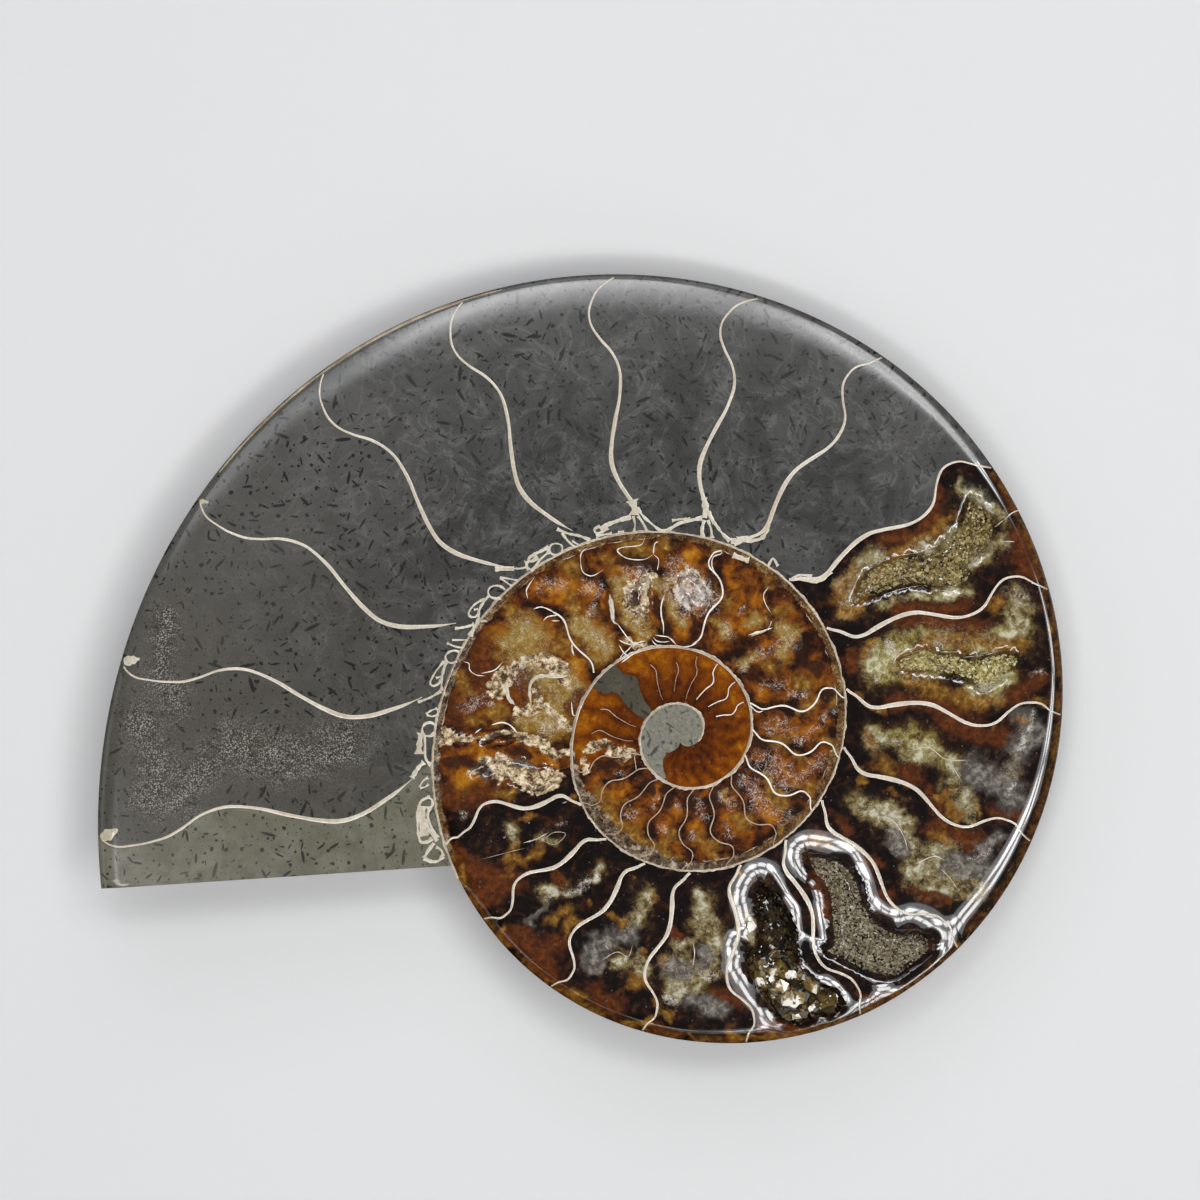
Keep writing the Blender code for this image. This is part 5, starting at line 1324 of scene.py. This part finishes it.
print("walls")
walls = {
    "from": -1100.0, "past": 3.0, "step": 0.75,                      # turns
    "waves": [(0.05, 4.1, 3), (0.04, 1.3, 5)],                       # wobble: reach, size, seed
    "widths": [(-1100, .28), (-870, .34), (-530, .42), (-515, .28), (-345, .28), (-150, .3)],
    "innerFrom": -515.0, "innerWidth": 0.07, "innerAbove": -0.012,   # the line inside the band
}
wallTurn = np.arange(walls["from"], spiral["notchTurn"] + walls["past"], walls["step"])
wallX, wallY = polar(wallTurn, wallRadius(wallTurn)).T
wobble = sum(reach * wander(wallX, wallY, size, seed) for reach, size, seed in walls["waves"])
width = np.interp(wallTurn, *zip(*walls["widths"]))
lines = [ribbon(polar(wallTurn, wallRadius(wallTurn) + wobble), width * (1 + 4 * wobble), 0.03)]
innerTurn = wallTurn[wallTurn > walls["innerFrom"]]
inset = np.interp(innerTurn, *zip(*whorls["band"]))
sway = np.interp(innerTurn, wallTurn, wobble)
shown = sway > walls["innerAbove"]
for span in np.split(np.arange(len(innerTurn)), np.flatnonzero(np.diff(shown)) + 1):
    if shown[span[0]] and len(span) > 5:
        path = polar(innerTurn[span], wallRadius(innerTurn[span]) - inset[span] * (1 + 2 * sway[span]))
        step = np.arange(len(span))
        narrow = np.clip(np.minimum(step, step[::-1]) / 3, 0.2, 1)
        lines.append(ribbon(path, (walls["innerWidth"] + 0.9 * np.clip(sway[span], 0, 1)) * narrow, 0.015))
shellPiece("whorl_walls", lines, wallShell)

print("crystals")


def crystalCrust(name, node, hollow, look, seed, material):
    # pointed six-sided crystals set side by side on a hollow's floor, each leaning its own way, and a
    # few large ones laid at given places; each is a tip, a ring of six and a foot
    random = np.random.default_rng(seed)
    outline = hollows[hollow]["outline"]
    places = random.uniform(outline.min(0), outline.max(0), (look["count"] * 5, 2))
    inside = outlineDistance(places[:, 0], places[:, 1], outline) > 0.3 * hollows[hollow]["slope"]
    large = np.reshape(look.get("large", []), (-1, 4))
    places = np.concatenate([places[inside][:look["count"]], large[:, :2]])
    n = len(places)
    radius = look["size"] * random.lognormal(0, look.get("spread", 0.33), n)
    # the growth table scales each crystal's size and also its tone; the darker tone is painted shade
    grown = np.interp(places[:, 1], *zip(*look.get("growth", [(-99, 1), (99, 1)])))
    radius, tone = radius * grown, random.uniform(0, 0.92, n) * np.clip(grown, 0, 1.15)
    lean = np.radians(random.normal(0, look.get("lean", 24), (n, 2)))
    height = radius * look["tall"] * random.uniform(0.7, 1.35, n)
    chosen = slice(n - len(large), n)
    # large ones take the top tone; in the boot that near-white is a painted highlight, white glinting facets
    radius[chosen], tone[chosen] = large[:, 2], 1.0
    height[chosen] = 0.35 * large[:, 2]
    lean[chosen] = np.radians(large[:, 3])[:, None]
    angles = np.arange(6) * math.pi / 3 + random.uniform(0, math.pi, n)[:, None]
    spokes = random.uniform(0.75, 1.2, (n, 6)) * radius[:, None]
    ring = np.stack([np.cos(angles) * spokes, np.sin(angles) * spokes, np.zeros((n, 6))], -1)
    tip = np.stack([random.normal(0, 0.3, n) * radius, random.normal(0, 0.3, n) * radius, height], -1)
    foot = np.stack([np.zeros(n), np.zeros(n), -0.8 * radius], -1)
    local = np.concatenate([tip[:, None], ring, foot[:, None]], 1)
    for axis in (0, 1):
        c, s = np.cos(lean[:, axis])[:, None], np.sin(lean[:, axis])[:, None]
        u, z = local[..., axis].copy(), local[..., 2].copy()
        local[..., axis], local[..., 2] = c * u - s * z, s * u + c * z
    ground = faceHeight(places[:, 0], places[:, 1])
    ground[chosen] += 0.5
    flat = (local + np.concatenate([places, ground[:, None]], -1)[:, None]).reshape(-1, 3)
    here = 1 + np.arange(6)
    following = 1 + (np.arange(6) + 1) % 6
    shape = np.concatenate([np.stack([0 * here, here, following], -1),
                            np.stack([0 * here + 7, following, here], -1)])
    faces = (shape[None] + 8 * np.arange(n)[:, None, None]).reshape(-1, 3)
    piece = makePiece(name, flat, faces, [material], None,
                      {"tone": np.repeat(tone, 36), "facePlace": flat[faces].reshape(-1, 3)}, 1.0)
    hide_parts(node)


# Crystals of each hollow: how many, radius and height in millimetres, lean in degrees; large ones have
# a place, a radius and a lean. The boot's growth table makes its crystals smaller and darker toward
# the top; the darker tone is painted shade in the deep end of the hollow.
bootLook = {"count": 620, "size": 0.42, "tall": 1.3, "spread": 0.45,
            "growth": [(-38, 1.15), (-31, 1.0), (-27, 0.6), (-20, 0.45)],
            "large": [13.6, -34.3, 1.25, 6, 15.6, -35.8, 1.35, -8, 14.8, -32.5, 0.85, 10,
                      9.3, -25.6, 0.7, -6, 17.4, -36.9, 0.5, 8, 12.2, -33.0, 0.45, -14]}
# the boot's near-white top stop, taken by its large crystals, is a painted highlight of glinting facets
crystalCrust("boot_druse", "boot_hollow_crystals", "boot", bootLook, 3,
             crystalMaterial("boot_crystal", [(0.0, (0.008, 0.006, 0.004)), (0.45, (0.045, 0.030, 0.010)),
                                              (0.8, (0.15, 0.095, 0.025)), (0.93, (0.26, 0.18, 0.07)),
                                              (1.0, (0.78, 0.74, 0.66))], 0.08, 0.14))
beanLook = {"count": 2900, "size": 0.155, "tall": 1.0, "lean": 16}
crystalCrust("bean_druse", "bean_hollow_crystals", "bean", beanLook, 5,
             crystalMaterial("bean_crystal", [(0.0, (0.066, 0.050, 0.024)), (0.5, (0.150, 0.125, 0.074)),
                                              (1.0, (0.31, 0.275, 0.19))], 0.0, 0.4))
upperLook = {"count": 2300, "size": 0.17, "tall": 1.1, "lean": 18}
crystalCrust("upper_druse", "upper_hollow_crystals", "upper", upperLook, 7,
             crystalMaterial("upper_crystal", [(0.0, (0.060, 0.040, 0.010)), (0.5, (0.20, 0.145, 0.045)),
                                               (1.0, (0.46, 0.38, 0.19))], 0.05, 0.3))
lowerLook = {"count": 1200, "size": 0.19, "tall": 1.2}
crystalCrust("lower_druse", "lower_hollow_crystals", "lower", lowerLook, 9,
             crystalMaterial("lower_crystal", [(0.0, (0.10, 0.072, 0.02)), (0.5, (0.31, 0.25, 0.08)),
                                               (1.0, (0.60, 0.55, 0.30))], 0.05, 0.25))

print("stage")
stage = {"height": 0.52, "frameWidth": 160.8, "viewMiddle": (-10.99, 18.16),
         "floor": 0.56, "floorReach": 3.0, "room": (0.9, 0.93, 1.0, 1.0), "roomPower": 0.12}
camera = bpy.data.cameras.new("camera")
camera.sensor_width = 36.0
camera.lens = camera.sensor_width * stage["height"] / (stage["frameWidth"] * mm)
camera.clip_start, camera.clip_end = 0.01, 20.0
cameraObject = bpy.data.objects.new("camera", camera)
scene.collection.objects.link(cameraObject)
viewX, viewY = stage["viewMiddle"]
cameraObject.matrix_world = faceMatrix @ Matrix.Translation((viewX * mm, viewY * mm, stage["height"]))
scene.camera = cameraObject

floorMesh = bpy.data.meshes.new("floor")
s = stage["floorReach"]
floorMesh.from_pydata([(-s, -s, 0), (s, -s, 0), (s, s, 0), (-s, s, 0)], [], [(0, 1, 2, 3)])
floor = bpy.data.objects.new("floor", floorMesh)
scene.collection.objects.link(floor)
floorMesh.materials.append(Recipe("floor").finish((stage["floor"],) * 3, 0.8, Specular_IOR_Level=0.2))

world = bpy.data.worlds.new("room")
scene.world = world
world.use_nodes = True
background = world.node_tree.nodes["Background"]
background.inputs["Color"].default_value = stage["room"]
background.inputs["Strength"].default_value = stage["roomPower"]


def softLight(name, place, target, size, power, colour=(1, 1, 1)):
    # a square light in face metres, turned toward a place on the face
    lamp = bpy.data.lights.new(name, "AREA")
    lamp.shape, lamp.size, lamp.size_y = "RECTANGLE", size[0], size[1]
    lamp.energy, lamp.color = power, colour
    made = bpy.data.objects.new(name, lamp)
    scene.collection.objects.link(made)
    start, end = faceMatrix @ Vector(place), faceMatrix @ Vector(target)
    facing = (start - end).to_track_quat("Z", "Y").to_matrix().to_4x4()
    made.matrix_world = Matrix.Translation(start) @ facing


softLight("window", (-0.1, 0.75, 0.75), (0, 0, 0), (0.8, 0.5), 2.4, (0.95, 0.97, 1.0))
softLight("left_fill", (-0.95, -0.1, 0.7), (0, 0, 0), (0.6, 0.6), 1.15)
softLight("low_fill", (0.1, -0.95, 0.7), (0, 0, 0), (0.6, 0.5), 0.8)
softLight("overhead", (-0.06, 0.235, 0.9), (-0.02, 0.05, 0), (0.8, 0.12), 1.25, (0.93, 0.95, 1.0))
# For the gleam on the sloping polish, a broad faint light and six narrow bright ones before it in each
# direction: direction in degrees, distance, depth.
gleam = {
    "panels": [(-8, 0.28, 0.19), (-42, 0.28, 0.19), (-78, 0.28, 0.19), (-110, 0.25, 0.1),
               (-140, 0.28, 0.19), (100, 0.28, 0.19), (48, 0.28, 0.19)],
    "height": 0.74, "width": 0.2, "power": 1.8, "target": (0.02, -0.02, 0),
    "stripHeight": 0.735, "stripSize": (0.055, 0.19), "stripPower": 0.58,
    "stripSteps": (-0.16, 0.22), "stripSides": (-13, 0, 13),
}
for direction, far, deep in gleam["panels"]:
    softLight("panel", (*polar(direction, far), gleam["height"]), gleam["target"], (gleam["width"], deep),
              gleam["power"] * deep)
    for step in gleam["stripSteps"]:
        distance = far + step * deep
        for aside in gleam["stripSides"]:
            place = (*polar(direction + aside * 0.28 / distance, distance), gleam["stripHeight"])
            wide, high = gleam["stripSize"]
            softLight("strip", place, gleam["target"], (wide, high * deep), gleam["stripPower"] * deep)

scene.view_settings.view_transform = "Standard"
